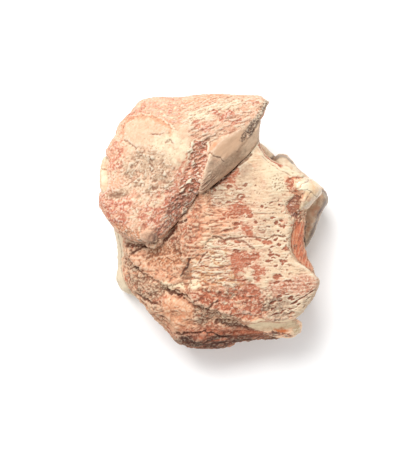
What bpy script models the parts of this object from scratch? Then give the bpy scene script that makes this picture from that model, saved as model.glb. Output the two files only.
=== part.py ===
"""Back end of a fossil oreodont jaw in its sediment, life size, lying on its far side.

The near jaw branch faces up (+Z). +X is towards the jaw joint, +Y towards the cheek.
Metres, +Z up. The object rests on small flats at z = 0 under the far jaw branch.
Outlines and heights are in millimetres and are turned into metres as the bodies are made.
"""

import math

import bmesh
import bpy
from mathutils import Vector, noise

MM = 0.001
GAP = 0.3  # between pieces that touch
FLOOR_SINK = 0.7  # how far the far branch is ground flat underneath

# Heights of the layers above the floor
FAR_BRANCH_THICK = 8.5
FRONT_RISE = 6.5  # the far branch is thicker at its front end
CORE_BOTTOM = 7.0
CORE_TOP = 31.9
NEAR_PLATE_TOP = 39.5
NEAR_PLATE_THICK = 7.0
CHEEK_BLOCK_TOP = 44.0
RIM_TOP = 47.4

# Colours, as linear red, green and blue
CREAM_BONE = (0.72, 0.50, 0.34)
RIM_BONE = (0.48, 0.32, 0.21)
STAINED_BONE = (0.74, 0.46, 0.31)
GLOSSY_BONE = (0.52, 0.40, 0.28)
PALE_BONE = (0.66, 0.54, 0.38)
RED_SEDIMENT = (0.52, 0.25, 0.16)


def new_material(name, colour, roughness):
    made = bpy.data.materials.new(name)
    made.use_nodes = True
    shader = made.node_tree.nodes["Principled BSDF"]
    shader.inputs["Base Color"].default_value = (*colour, 1)
    shader.inputs["Roughness"].default_value = roughness
    shader.inputs["Metallic"].default_value = 0
    return made


def smooth_loop(points, count):
    """Points spaced evenly along the smooth closed curve through the given ones."""
    fine = []
    steps = 12
    for i in range(len(points)):
        a, b, c, d = (Vector(points[(i + k - 1) % len(points)]) for k in range(4))
        for s in range(steps):
            t = s / steps
            bend = (2 * a - 5 * b + 4 * c - d) * t * t + (3 * b - a - 3 * c + d) * t**3
            fine.append(b + 0.5 * ((c - a) * t + bend))
    lengths = [(fine[(i + 1) % len(fine)] - p).length for i, p in enumerate(fine)]
    placed = []
    i, walked = 0, 0.0
    for k in range(count):
        target = sum(lengths) * k / count
        while walked + lengths[i] < target:
            walked += lengths[i]
            i += 1
        share = (target - walked) / lengths[i]
        placed.append(fine[i].lerp(fine[(i + 1) % len(fine)], share))
    return placed


def swell(x, y, centre, size, height, turn=0.0):
    """A soft rise of that height. size is its half length and half width, turn is in degrees."""
    c, s = math.cos(math.radians(turn)), math.sin(math.radians(turn))
    dx, dy = x - centre[0], y - centre[1]
    u, v = (dx * c + dy * s) / size[0], (dy * c - dx * s) / size[1]
    return height * math.exp(-(u * u + v * v))


def step(distance, width):
    """0 on the near side of a line and 1 beyond it, with a soft edge of that width."""
    t = min(1.0, max(0.0, 0.5 + distance / width))
    return t * t * (3 - 2 * t)


def pebble(name, outline, centre, equator, top, bottom, edge, detail):
    """A closed body with that outline, which lies at the height equator. top and bottom are the
    heights of its faces and edge is how far its rounding reaches in: numbers, or functions of
    (x, y). detail is the number of points round the outline and of rings inside the rounding."""
    top, bottom, edge = (f if callable(f) else lambda x, y, f=f: f for f in (top, bottom, edge))
    segments, rings = detail
    loop = smooth_loop(outline, segments)
    middle = Vector(centre)
    turns = 3  # rings that make the rounding
    quarter = [math.pi / 2 * k / turns for k in range(1, turns + 1)]
    steps = [(1 - math.cos(angle), math.sin(angle), 1.0) for angle in quarter]
    steps += [(1.0, 1.0, 1 - k / rings) for k in range(1, rings)]
    bm = bmesh.new()

    def ring(height, inset, rise, shrink):
        made = []
        for p in loop:
            reach = (p - middle).length
            share = max(0.04, 1 - edge(p.x, p.y) * inset / reach) * shrink
            x, y = middle + (p - middle) * share
            z = equator + (height(x, y) - equator) * rise
            made.append(bm.verts.new((x * MM, y * MM, z * MM)))
        return made

    waist = ring(top, 0, 0, 1)
    for height in (top, bottom):
        last = waist
        for inset, rise, shrink in steps:
            here = ring(height, inset, rise, shrink)
            for i in range(segments):
                j = (i + 1) % segments
                bm.faces.new((last[i], last[j], here[j], here[i]))
            last = here
        tip = bm.verts.new((middle.x * MM, middle.y * MM, height(*middle) * MM))
        for i in range(segments):
            bm.faces.new((last[i], last[(i + 1) % segments], tip))
    bmesh.ops.recalc_face_normals(bm, faces=bm.faces)
    mesh = bpy.data.meshes.new(name)
    bm.to_mesh(mesh)
    bm.free()
    made = bpy.data.objects.new(name, mesh)
    bpy.context.scene.collection.objects.link(made)
    return made


def crumple(obj, size, depth, seed, bedded=()):
    """Pushes the surface in and out along its normals by up to depth, in lumps of that size.
    bedded is which of its "top" and "under" faces lie against other pieces and stay plain."""
    offset = Vector((seed * 17.3, seed * 5.1, seed * 9.7))
    moves = []
    for vertex in obj.data.vertices:
        place = vertex.co / (size * MM) + offset
        lump = noise.noise(place) + 0.5 * noise.noise(place * 2.1)
        free = 1.0
        if "top" in bedded:
            free -= step(vertex.normal.z - 0.6, 0.4)
        if "under" in bedded:
            free -= step(-vertex.normal.z - 0.6, 0.4)
        moves.append(vertex.normal * (lump * depth * free * MM))
    for vertex, move in zip(obj.data.vertices, moves, strict=True):
        vertex.co += move
    bm = bmesh.new()
    bm.from_mesh(obj.data)
    bmesh.ops.triangulate(bm, faces=bm.faces)  # bent four-sided faces would spoil the cuts
    bm.to_mesh(obj.data)
    bm.free()
    return obj


def swollen_copy(obj):
    """A copy of a piece, larger by the gap all round, as a cutter for its neighbours."""
    copy = obj.copy()
    copy.data = obj.data.copy()
    copy.name = obj.name + "_cutter"
    bm = bmesh.new()
    bm.from_mesh(copy.data)
    moves = [v.normal * min(2.0, v.calc_shell_factor()) * GAP * MM for v in bm.verts]
    for vertex, move in zip(bm.verts, moves, strict=True):
        vertex.co += move
    bm.to_mesh(copy.data)
    bm.free()
    copy.hide_render = True
    copy.display_type = "WIRE"
    bpy.context.scene.collection.objects.link(copy)
    return copy


def closed_volume(mesh):
    """The volume inside a mesh, or 0 if it isn't closed."""
    bm = bmesh.new()
    bm.from_mesh(mesh)
    closed = len(bm.faces) > 0 and all(edge.is_manifold for edge in bm.edges)
    volume = bm.calc_volume(signed=True) if closed else 0.0
    bm.free()
    return volume


def boxes_meet(a, b):
    """Whether the boxes around two pieces touch each other."""
    for axis in range(3):
        a_side = [v.co[axis] for v in a.data.vertices]
        b_side = [v.co[axis] for v in b.data.vertices]
        if min(a_side) > max(b_side) or min(b_side) > max(a_side):
            return False
    return True


def boolean(obj, other, operation):
    """Cuts the other from a piece, or joins it on. EXACT spoils a few of these lumpy pieces, which
    shows in the volume that it leaves, and there MANIFOLD is used."""
    before = obj.data.copy()
    full, extra = closed_volume(before), closed_volume(other.data)
    if operation == "UNION":
        least, most = max(full, extra), full + extra
    else:
        least, most = full - extra, full
    for solver in ("EXACT", "MANIFOLD"):
        obj.data = before.copy()
        modifier = obj.modifiers.new("with_" + other.name, "BOOLEAN")
        modifier.operation = operation
        modifier.solver = solver
        modifier.object = other
        bpy.context.view_layer.update()
        graph = bpy.context.evaluated_depsgraph_get()
        mesh = bpy.data.meshes.new_from_object(obj.evaluated_get(graph))
        obj.modifiers.clear()
        obj.data = mesh
        if max(least * 0.999, 1e-12) <= closed_volume(mesh) <= most * 1.001:
            return
        print(obj.name, "was spoilt by", solver, "with", other.name)


def join(name, lumps):
    """One solid from overlapping lumps."""
    whole = lumps[0]
    for lump in lumps[1:]:
        boolean(whole, lump, "UNION")
        bpy.data.objects.remove(lump, do_unlink=True)
    whole.name = name
    return whole


def keep_largest(obj):
    """Drops every loose scrap that a cut left, and the needle-thin faces along its edges."""
    bm = bmesh.new()
    bm.from_mesh(obj.data)
    bmesh.ops.triangulate(bm, faces=bm.faces)
    left = set(bm.verts)
    groups = []
    while left:
        group, front = set(), [left.pop()]
        while front:
            vertex = front.pop()
            group.add(vertex)
            for edge in vertex.link_edges:
                other = edge.other_vert(vertex)
                if other in left:
                    left.remove(other)
                    front.append(other)
        groups.append(group)
    spans = [max(v.co.x for v in g) - min(v.co.x for v in g) for g in groups]
    largest = groups[spans.index(max(spans))]
    scraps = [v for group in groups if group is not largest for v in group]
    bmesh.ops.delete(bm, geom=scraps, context="VERTS")
    bm.to_mesh(obj.data)
    for merge in (0.08, 0.04, 0.02):
        tidy = bm.copy()
        bmesh.ops.dissolve_degenerate(tidy, edges=tidy.edges, dist=merge * MM)
        bmesh.ops.triangulate(tidy, faces=tidy.faces)
        closed = all(edge.is_manifold for edge in tidy.edges)
        if closed:
            tidy.to_mesh(obj.data)
        tidy.free()
        if closed:
            break
    bm.free()


def ground_block():
    """A cutter for what lies under z = 0, which leaves the flats that the piece rests on."""
    bpy.ops.mesh.primitive_cube_add(size=1, location=(0, 0, -0.05))
    block = bpy.context.object
    block.name = "ground_cutter"
    block.scale = (0.4, 0.4, 0.1)
    bpy.ops.object.transform_apply(location=True, rotation=True, scale=True)
    block.hide_render = True
    block.display_type = "WIRE"
    return block


def near_condyle():
    """The joint knob of the near branch: a roller that runs inwards from the outer face."""
    outline = [
        (29.2, 16.7), (31.9, 17.1), (36.1, 16.3), (39.1, 15.0), (41.0, 13.3), (41.5, 11.6),
        (40.9, 9.9), (38.6, 7.6), (37.0, 5.7), (34.6, 4.2), (32.9, 3.0), (32.5, 4.6), (33.2, 7.2),
        (32.4, 9.9), (30.8, 11.4), (28.9, 13.3),
    ]
    def top(x, y):
        return 40.6 + swell(x, y, (33, 13), (5, 5), 2.2) - 0.24 * max(0.0, x - 33)

    knob = pebble("near_condyle", outline, (35.5, 11.5), 33.0, top, 25.5, 3.4, (28, 1))
    return crumple(knob, 9, 0.35, 1)


def near_ramus():
    """The near branch of the jaw: a plate with its joint notch above and its angle at lower right."""
    outline = [
        (12.0, 36.0), (16.0, 34.4), (17.2, 31.0), (18.6, 27.4), (21.6, 23.6), (26.2, 21.4),
        (31.0, 18.9), (35.4, 16.7), (34.4, 13.6), (30.8, 9.8), (28.4, 7.2), (28.8, 4.6),
        (30.2, 1.8), (31.0, -1.0), (29.6, -5.2), (29.4, -9.6), (30.2, -13.4), (33.2, -16.6),
        (37.2, -19.0), (40.4, -22.2), (40.6, -24.6), (38.2, -29.2), (34.6, -33.2), (32.0, -36.6),
        (27.4, -38.0), (19.8, -37.8), (13.3, -36.5), (7.2, -33.8), (0.4, -30.4), (-5.0, -27.0),
        (-8.4, -21.7), (-8.7, -15.6), (-7.6, -9.0), (-8.0, -2.7), (-6.5, 3.4), (-8.7, 9.9),
        (-5.0, 19.4), (2.7, 28.9),
    ]
    def top(x, y):
        z = NEAR_PLATE_TOP
        z += swell(x, y, (34, -27), (9, 6), 1.2)
        z += swell(x, y, (22, 14), (8, 8), 1.0)
        z += swell(x, y, (10, -16), (12, 12), 0.9)
        z -= swell(x, y, (2, 8), (12, 8), 1.4, 45)
        z -= swell(x, y, (0, -6), (7, 9), 0.8)
        return z - 0.13 * max(0.0, -22 - y)

    def edge(x, y):
        """Round at the notch and the hind margin, sharper where the sediment laps onto it."""
        return 2.6 - 1.5 * step(-0.8 * x - 0.35 * y - 2.0, 6.0)

    under = NEAR_PLATE_TOP - NEAR_PLATE_THICK
    plate = pebble("near_ramus", outline, (11.4, -5.3), 35.5, top, under, edge, (68, 7))
    crumple(plate, 13, 0.6, 6, ("under",))
    return crumple(plate, 6.5, 0.45, 15, ("under",))


def lower_border():
    """A bar of bone along the lower edge, with its broken end to the right."""
    outline = [
        (9.4, -40.0), (14.8, -38.6), (21.7, -38.0), (28.5, -38.4), (33.2, -38.0), (34.4, -40.2),
        (33.6, -42.8), (30.0, -44.8), (24.9, -44.6), (18.8, -43.4), (13.3, -42.0),
    ]
    bar = pebble(
        "lower_border", outline, (22.8, -41.2), 24.0, lambda x, y: 28.0 + 0.1 * (y + 41), 19.0,
        2.6, (28, 1),
    )
    return crumple(bar, 12, 0.5, 2)


def cheek_rim():
    """The smooth bevelled edge of the cheekbone, which overhangs the near branch."""
    outline = [
        (17.9, 38.6), (17.4, 34.4), (17.2, 31.0), (14.6, 26.6), (10.6, 22.6), (6.6, 18.9),
        (2.0, 15.6), (-2.6, 11.8), (-5.4, 9.6), (-4.6, 13.8), (-2.6, 20.4), (-1.0, 25.6),
        (1.2, 29.8), (6.8, 33.2), (11.2, 35.4), (14.8, 38.0),
    ]
    across = Vector((-0.69, 0.72))  # from the lower edge up into the bone

    def top(x, y):
        inward = (Vector((x, y)) - Vector((7.0, 19.4))).dot(across)
        lower = min(1.0, max(0.0, inward / 4.2))
        upper = min(1.0, max(0.0, (inward - 4.2) / 5.0))
        return RIM_TOP - 7.0 + 5.4 * lower + 1.6 * upper - 0.07 * x

    rim = pebble("cheek_rim", outline, (5.4, 26.4), 39.4, top, 37.6, 0.9, (44, 3))
    return crumple(rim, 14, 0.35, 5, ("under",))


def cheek_block():
    """The dome of bone and sediment at the upper left, the highest part, with its pointed tip."""
    outline = [
        (21.2, 45.0), (19.9, 46.3), (17.7, 47.0), (12.2, 47.2), (5.5, 47.8), (0.0, 48.0),
        (-7.0, 47.4), (-16.0, 46.9), (-24.0, 46.9), (-27.4, 45.6), (-31.2, 42.0), (-34.8, 37.2),
        (-37.0, 33.0), (-39.8, 28.0), (-40.6, 24.0), (-42.2, 19.0), (-41.8, 13.7), (-42.6, 8.7),
        (-41.4, 3.6), (-39.1, -0.8), (-36.0, -4.6), (-30.8, -7.2), (-24.7, -8.2), (-20.0, -6.8),
        (-16.0, -3.4), (-11.4, 1.4), (-8.4, 5.6), (-5.9, 9.8), (-4.4, 15.6), (-2.0, 23.6),
        (0.4, 29.4), (6.0, 33.4), (12.0, 35.4), (15.6, 37.4), (18.0, 38.8), (19.6, 42.0), (21.0, 43.8),
    ]

    def top(x, y):
        z = CHEEK_BLOCK_TOP
        z += swell(x, y, (-19, 27), (20, 14), 4.6, 25)
        z += swell(x, y, (4, 36), (18, 9), 3.4, 10)
        z += swell(x, y, (-32, 4), (9, 8), 2.0)
        z -= swell(x, y, (-24, 15), (9, 6), 1.4, -20)
        z -= swell(x, y, (-11, 3), (7, 5), 3.0, 45)
        z -= swell(x, y, (-1, 26), (9, 5), 1.2, 48)
        return z - 0.10 * max(0.0, x - 8) - 0.12 * max(0.0, -14 - x)

    def bottom(x, y):
        return 26.0 - 6.0 * step(-x - 4.0, 30.0) + 7.5 * step(x - 4.0, 14.0)

    def edge(x, y):
        """Steep towards the rim and the near branch, round on the outside."""
        return 7.5 - 6.2 * step(0.72 * x - 0.69 * y + 20.0, 12.0)

    block = pebble("cheek_block", outline, (-12.0, 31.0), 37.0, top, bottom, edge, (64, 4))
    crumple(block, 12, 1.0, 7, ("under",))
    return crumple(block, 7, 0.35, 21, ("under",))


def left_chip():
    """A chip of clean bone let into the left edge of the cheek block."""
    outline = [
        (-41.0, 24.6), (-38.6, 23.4), (-37.4, 19.4), (-37.8, 14.8), (-38.8, 10.8), (-41.6, 10.0),
        (-42.7, 14.0), (-42.8, 19.2),
    ]
    chip = pebble("left_chip", outline, (-40.3, 17.2), 35.0, 40.5, 29.0, 1.6, (18, 1))
    return crumple(chip, 6, 0.3, 3, ("under",))


def far_branch():
    """The far branch with its joint knob, on which everything rests. Its front end shows as a
    sliver on the left, and the knob and its neck show at the right, behind the near one."""
    outline = [
        (28.0, 23.0), (19.0, 31.0), (8.8, 37.6), (-5.0, 41.0), (-18.6, 39.6), (-28.3, 33.0),
        (-34.6, 23.8), (-38.6, 12.0), (-39.6, 2.3), (-39.0, -4.0), (-38.2, -8.6), (-37.3, -13.0),
        (-36.9, -17.2), (-37.6, -21.0), (-37.6, -24.4), (-35.4, -27.4), (-29.6, -29.8),
        (-18.6, -36.0), (-7.0, -41.0), (6.5, -43.0), (19.0, -42.4), (28.6, -39.2), (34.2, -34.0),
        (37.0, -26.6), (35.4, -19.0), (34.6, -12.0), (36.0, -3.0), (36.6, 8.0), (32.6, 17.6),
    ]

    def top(x, y):
        return FAR_BRANCH_THICK + FRONT_RISE * step(-x - 22.0, 18.0) * step(-y - 2, 14.0)

    def bottom(x, y):
        hollow = swell(x, y, (-12, 20), (12, 8), 2.6, 30)
        hollow += swell(x, y, (14, -20), (13, 8), 2.2, -20)
        return -FLOOR_SINK + hollow

    plate = pebble("far_ramus", outline, (0.0, -0.4), 5.0, top, bottom, 4.4, (56, 4))
    crumple(plate, 15, 0.7, 12)
    knob_outline = [
        (22.5, 20.0), (23.7, 25.1), (26.2, 26.3), (28.9, 25.6), (31.0, 24.0), (33.0, 20.9),
        (37.0, 17.2), (42.0, 13.7), (44.5, 10.4), (44.9, 7.9), (44.0, 5.4), (42.1, 2.8),
        (41.1, -0.3), (40.1, -3.6), (37.9, -7.7), (36.0, -10.9), (30.5, -13.0), (26.5, 0.5),
        (23.5, 10.0),
    ]

    def knob_top(x, y):
        return 22.0 + swell(x, y, (37, 9), (8, 12), 2.4) - 5.0 * step(-y - 2.0, 8.0)

    def knob_edge(x, y):
        return 2.6 + 3.8 * step(y + 3.0, 12.0)

    knob = pebble("far_condyle", knob_outline, (33.0, 7.5), 16.0, knob_top, 4.0, knob_edge, (34, 2))
    crumple(knob, 12, 0.5, 11)
    return join("far_ramus", [plate, knob])


def sediment():
    """The hardened sediment between and around the bones, one mass with several broken ledges."""
    core = pebble(
        "core",
        [
            (16.2, 33.4), (10.0, 40.0), (-3.0, 43.4), (-18.0, 43.0), (-28.5, 39.4), (-35.4, 30.6),
            (-39.2, 21.0), (-39.8, 10.0), (-37.8, -0.5), (-34.4, -7.0), (-32.8, -15.0),
            (-31.0, -22.5), (-26.8, -29.0), (-19.8, -36.0), (-12.0, -41.0), (1.0, -43.0),
            (14.0, -42.4), (25.5, -40.6), (32.4, -36.4), (36.6, -30.0), (39.0, -24.4),
            (37.4, -19.4), (35.0, -13.0), (33.4, -7.5), (33.6, -1.0), (34.0, 6.0), (33.0, 14.4),
            (26.4, 20.4), (20.0, 25.8),
        ],
        (0.0, 0.0), 20.0, CORE_TOP, CORE_BOTTOM, 3.6, (56, 1),
    )
    crumple(core, 9, 1.2, 14, ("top", "under"))

    def hind_top(x, y):
        z = 35.6 + 2.2 * step(y - 10, 5.0) - swell(x, y, (31, 5), (3.5, 4), 2.6)
        return z - 0.22 * max(0.0, x - 30) + 0.10 * max(0.0, -8 - y)

    # The fibrous face where the near branch has lost its hind border, with a hollow at the knob
    hind = pebble(
        "hind",
        [
            (28.0, 17.4), (31.0, 17.6), (34.0, 15.0), (35.0, 9.0), (35.2, 3.0), (34.6, -2.0),
            (34.3, -6.5), (35.0, -11.0), (36.4, -15.6), (38.4, -19.8), (37.0, -22.4),
            (31.0, -20.5), (26.6, -14.0), (25.8, -5.0), (26.0, 4.0), (25.0, 11.0),
        ],
        (29.5, -4.0), 30.5, hind_top, CORE_TOP - 6.0, 1.6, (40, 2),
    )
    crumple(hind, 7, 0.6, 10, ("under",))

    # The pink flake below the crevice on the left
    pink = pebble(
        "pink",
        [
            (-33.8, -6.4), (-29.6, -4.0), (-24.0, -4.0), (-19.0, -1.0), (-14.4, 2.0), (-8.0, 5.0),
            (-5.5, -7.2), (-6.0, -14.0), (-6.7, -20.9), (-6.6, -26.2), (-12.5, -28.0),
            (-18.2, -26.0), (-24.0, -22.4), (-29.3, -18.8), (-33.0, -14.8), (-34.6, -10.5),
        ],
        (-19.0, -12.5), 30.0,
        lambda x, y: 36.2 + 0.17 * (x + 14) + 0.12 * (y + 14) + swell(x, y, (-10, -12), (7, 9), 1.6),
        24.0, lambda x, y: 3.0 - 2.1 * step(x + 13.0, 8.0), (36, 5),
    )
    crumple(pink, 7, 1.1, 8, ("under",))

    # The crusty chunk under the flake, at the left edge
    crust = pebble(
        "crust",
        [
            (-33.4, -13.5), (-28.0, -15.0), (-23.0, -18.0), (-18.4, -21.0), (-14.0, -24.5),
            (-14.6, -29.8), (-20.9, -33.0), (-26.4, -31.4), (-29.8, -28.5), (-32.4, -25.2),
            (-34.0, -20.0),
        ],
        (-24.6, -24.4), 25.0,
        lambda x, y: 31.0 + 0.10 * (x + 24) + swell(x, y, (-24, -26), (5, 4), 1.2),
        14.0, 3.8, (32, 2),
    )
    crumple(crust, 6, 1.5, 9, ("under",))

    # The layered foot along the bottom edge
    def foot_top(x, y):
        z = 33.5 + 0.42 * (y + 33) - 0.12 * abs(x + 4) + swell(x, y, (-13, -36), (6, 6), 1.6)
        z += swell(x, y, (-3.0, -34.6), (5.5, 4.0), 1.8) + swell(x, y, (6.1, -36.9), (5.0, 2.8), 1.6)
        return z - swell(x, y, (-13.3, -27.4), (6.5, 2.0), 2.0, -14)

    foot = pebble(
        "foot",
        [
            (14.5, -35.5), (22.0, -39.0), (26.8, -44.6), (18.8, -46.0), (10.4, -46.2),
            (6.2, -48.4), (0.0, -49.2), (-6.8, -49.2), (-11.8, -48.2), (-15.4, -45.4),
            (-19.4, -40.2), (-23.0, -36.0), (-26.6, -32.3), (-24.0, -27.5), (-18.2, -24.5),
            (-8.7, -24.0), (0.8, -26.5), (9.0, -31.0),
        ],
        (-3.0, -38.0), 20.0, foot_top, 9.5, 4.6, (48, 6),
    )
    crumple(foot, 6.5, 1.6, 13, ("under",))

    # Where the sediment laps onto the left and lower margins of the near branch
    left_lap = pebble(
        "left_lap",
        [
            (-11.8, 8.0), (-4.9, 11.0), (-1.9, 7.2), (0.4, 3.4), (6.0, 3.0), (8.4, -0.4), (5.7, -4.2),
            (-0.4, -5.7), (-2.7, -9.5), (-6.0, -14.1), (-11.4, -15.0), (-13.0, -4.0),
        ],
        (-4.0, -0.5), 37.2, 40.2, 33.0, 1.5, (32, 3),
    )
    crumple(left_lap, 5, 0.7, 17, ("under",))
    lower_lap = pebble(
        "lower_lap",
        [
            (-7.5, -23.6), (0.4, -23.9), (7.2, -27.0), (12.5, -30.0), (18.6, -34.6), (17.1, -38.6),
            (8.7, -37.4), (0.4, -33.8), (-9.0, -29.5),
        ],
        (4.0, -30.6), 35.0, lambda x, y: 39.8 + 0.2 * (y + 26), 30.0, 1.7, (32, 3),
    )
    crumple(lower_lap, 5, 0.8, 18, ("under",))

    # The rounded pebble that hangs over the crevice
    hanging = pebble(
        "hanging",
        [(-26.6, -5.4), (-24.8, -9.0), (-21.6, -9.4), (-19.4, -6.8), (-20.6, -3.6), (-24.4, -2.8)],
        (-23.0, -6.2), 38.5, 43.2, 30.5, 3.0, (18, 1),
    )
    crumple(hanging, 6, 0.25, 4)
    return join("sediment", [core, foot, crust, pink, hind, left_lap, lower_lap, hanging])


def centre_on_floor(pieces):
    """Moves everything so that the middle of its box stands over the origin."""
    corners = [v.co for piece in pieces for v in piece.data.vertices]
    xs, ys = [c.x for c in corners], [c.y for c in corners]
    shift = Vector((-(min(xs) + max(xs)) / 2, -(min(ys) + max(ys)) / 2, 0))
    for piece in pieces:
        for vertex in piece.data.vertices:
            vertex.co += shift
    print("moved by", [round(c / MM, 2) for c in shift])


def main():
    for old in list(bpy.data.objects):
        bpy.data.objects.remove(old, do_unlink=True)
    # Each piece is cut back where one before it in this list stands
    looks = [
        (near_condyle(), "glossy_bone", GLOSSY_BONE, 0.35),
        (lower_border(), "border_bone", CREAM_BONE, 0.7),
        (left_chip(), "chip_bone", PALE_BONE, 0.6),
        (cheek_rim(), "rim_bone", RIM_BONE, 0.6),
        (near_ramus(), "cream_bone", CREAM_BONE, 0.75),
        (cheek_block(), "stained_bone", STAINED_BONE, 0.85),
        (far_branch(), "pale_bone", PALE_BONE, 0.6),
        (sediment(), "red_sediment", RED_SEDIMENT, 0.95),
    ]
    pieces = []
    for piece, name, colour, roughness in looks:
        piece.data.materials.clear()
        piece.data.materials.append(new_material(name, colour, roughness))
        pieces.append(piece)
    cutters = [swollen_copy(piece) for piece in pieces]
    ground = ground_block()
    for i, piece in enumerate(pieces):
        for cutter in [*cutters[:i], ground]:
            if boxes_meet(piece, cutter):
                boolean(piece, cutter, "DIFFERENCE")
        keep_largest(piece)
    for cutter in [*cutters, ground]:
        bpy.data.objects.remove(cutter, do_unlink=True)
    for piece in pieces:
        piece.data.shade_smooth()
        piece.data.set_sharp_from_angle(angle=math.radians(40))
    centre_on_floor(pieces)


if __name__ == "__main__":
    main()
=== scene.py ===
import math

import bmesh
import bpy
import numpy as np
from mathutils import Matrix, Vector
from mathutils.bvhtree import BVHTree


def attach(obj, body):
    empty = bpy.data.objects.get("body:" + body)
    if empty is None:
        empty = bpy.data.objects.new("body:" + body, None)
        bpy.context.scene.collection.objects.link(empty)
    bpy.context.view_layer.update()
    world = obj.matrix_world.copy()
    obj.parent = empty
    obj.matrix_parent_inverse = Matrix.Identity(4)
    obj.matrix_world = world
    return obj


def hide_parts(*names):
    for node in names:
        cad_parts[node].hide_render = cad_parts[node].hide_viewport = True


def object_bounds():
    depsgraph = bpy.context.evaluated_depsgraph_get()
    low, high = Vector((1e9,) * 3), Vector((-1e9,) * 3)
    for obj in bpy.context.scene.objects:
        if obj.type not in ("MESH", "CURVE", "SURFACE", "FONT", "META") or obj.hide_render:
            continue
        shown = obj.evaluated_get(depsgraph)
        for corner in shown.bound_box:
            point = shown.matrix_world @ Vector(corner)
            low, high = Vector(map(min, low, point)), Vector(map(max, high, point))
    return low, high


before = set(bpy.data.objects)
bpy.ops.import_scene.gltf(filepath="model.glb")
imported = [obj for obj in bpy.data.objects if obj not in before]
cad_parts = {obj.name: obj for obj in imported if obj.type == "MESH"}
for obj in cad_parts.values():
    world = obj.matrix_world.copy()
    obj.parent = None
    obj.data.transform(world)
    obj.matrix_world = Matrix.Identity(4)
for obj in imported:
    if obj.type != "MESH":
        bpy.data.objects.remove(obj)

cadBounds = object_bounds()
scene = bpy.context.scene
scene.view_settings.view_transform = "Standard"

# Marks are placed on a flat chart of the upper face: squares of 0.38 mm, counted right and down
chart = {"square": 0.38, "middle": (208.0, 230.5), "width": 416,
         "over": (-2.78, -2.90), "level": 36.0, "eye": 736.0}
quickFactor = 1.0
daylight = 1.30  # how much the lamps lift a white surface that faces up
whitest = 0.92  # no stone is whiter than this

dice = np.random.default_rng(11)
shuffled = dice.permutation(256)
slopes = dice.normal(size=(256, 3))
slopes /= np.linalg.norm(slopes, axis=1)[:, None]
scatter = dice.random((256, 4))


# Numbers that vary over a surface

def soft(value, low, high):  # 0 below low, 1 above high
    t = np.clip((value - low) / (high - low), 0, 1)
    return t * t * (3 - 2 * t)


def dealt(cell, seed):
    index = shuffled[(cell[:, 0] + seed * 37) & 255]
    index = shuffled[(index + cell[:, 1]) & 255]
    return shuffled[(index + cell[:, 2]) & 255]


def ripple(place, seed):  # smooth hills and dips from -1 to 1, one to each unit
    cell = np.floor(place).astype(np.int64)
    part = place - cell
    fade = part**3 * (part * (part * 6 - 15) + 10)
    total = np.zeros(len(place))
    for corner in np.ndindex(2, 2, 2):
        step = np.array(corner)
        slope = slopes[dealt(cell + step, seed)]
        lift = ((part - step) * slope).sum(1)
        total += lift * np.prod(np.where(step, fade, 1 - fade), axis=1)
    return total * 1.7  # brings the highest hills to about 1


def scattered(place, seed, flat=False):  # how far the two nearest points are, and the nearest one's lot
    cell = np.floor(place).astype(np.int64)
    near, other, lot = np.full(len(place), 9.0), np.full(len(place), 9.0), np.zeros(len(place))
    for around in np.ndindex(3, 3, 1 if flat else 3):
        step = np.array(around) - (1, 1, 0 if flat else 1)
        index = dealt(cell + step, seed)
        away = cell + step + scatter[index, :3] - place
        if flat:
            away[:, 2] = 0
        far = np.sqrt((away**2).sum(1))
        other = np.minimum(other, np.maximum(near, far))
        lot = np.where(far < near, scatter[index, 3], lot)
        near = np.minimum(near, far)
    return near, other, lot


def terraces(value, crisp=0.75):  # rounds a height down to whole steps, with a steep lip between
    whole = np.floor(value)
    return whole + soft(value - whole, crisp, 1.0)


def toPath(u, v, points, closed=False):  # distance to a line, or how far inside a closed outline
    pairs = list(zip(points, points[1:] + points[:1] if closed else points[1:]))
    best, inside = np.full(len(u), 1e9), np.zeros(len(u), bool)
    for (ax, ay), (bx, by) in pairs:
        dx, dy = bx - ax, by - ay
        t = np.clip(((u - ax) * dx + (v - ay) * dy) / (dx * dx + dy * dy), 0, 1)
        best = np.minimum(best, (u - ax - t * dx) ** 2 + (v - ay - t * dy) ** 2)
        if closed:
            inside ^= ((ay > v) != (by > v)) & (u < dx * (v - ay) / (by - ay + 1e-9) + ax)
    best = np.sqrt(best)
    return np.where(inside, best, -best) if closed else best


def onChart(x, y, z=40.0):  # chart squares right and down of a place in mm
    spread = (chart["eye"] - chart["level"]) / (chart["eye"] - z) / chart["square"]
    right, up = (x - chart["over"][0]) * spread, (y - chart["over"][1]) * spread
    return chart["middle"][0] + right, chart["middle"][1] - up


# Mud has settled into the seams between the pieces: a ball rolled over the whole from above finds how far
seams = {"cell": 0.4, "ball": 4.4, "below": 0.16, "depth": 2.5, "halfX": 46, "halfY": 51, "from": 80,
         "bottom": -30.0, "ceiling": 90.0}


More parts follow.
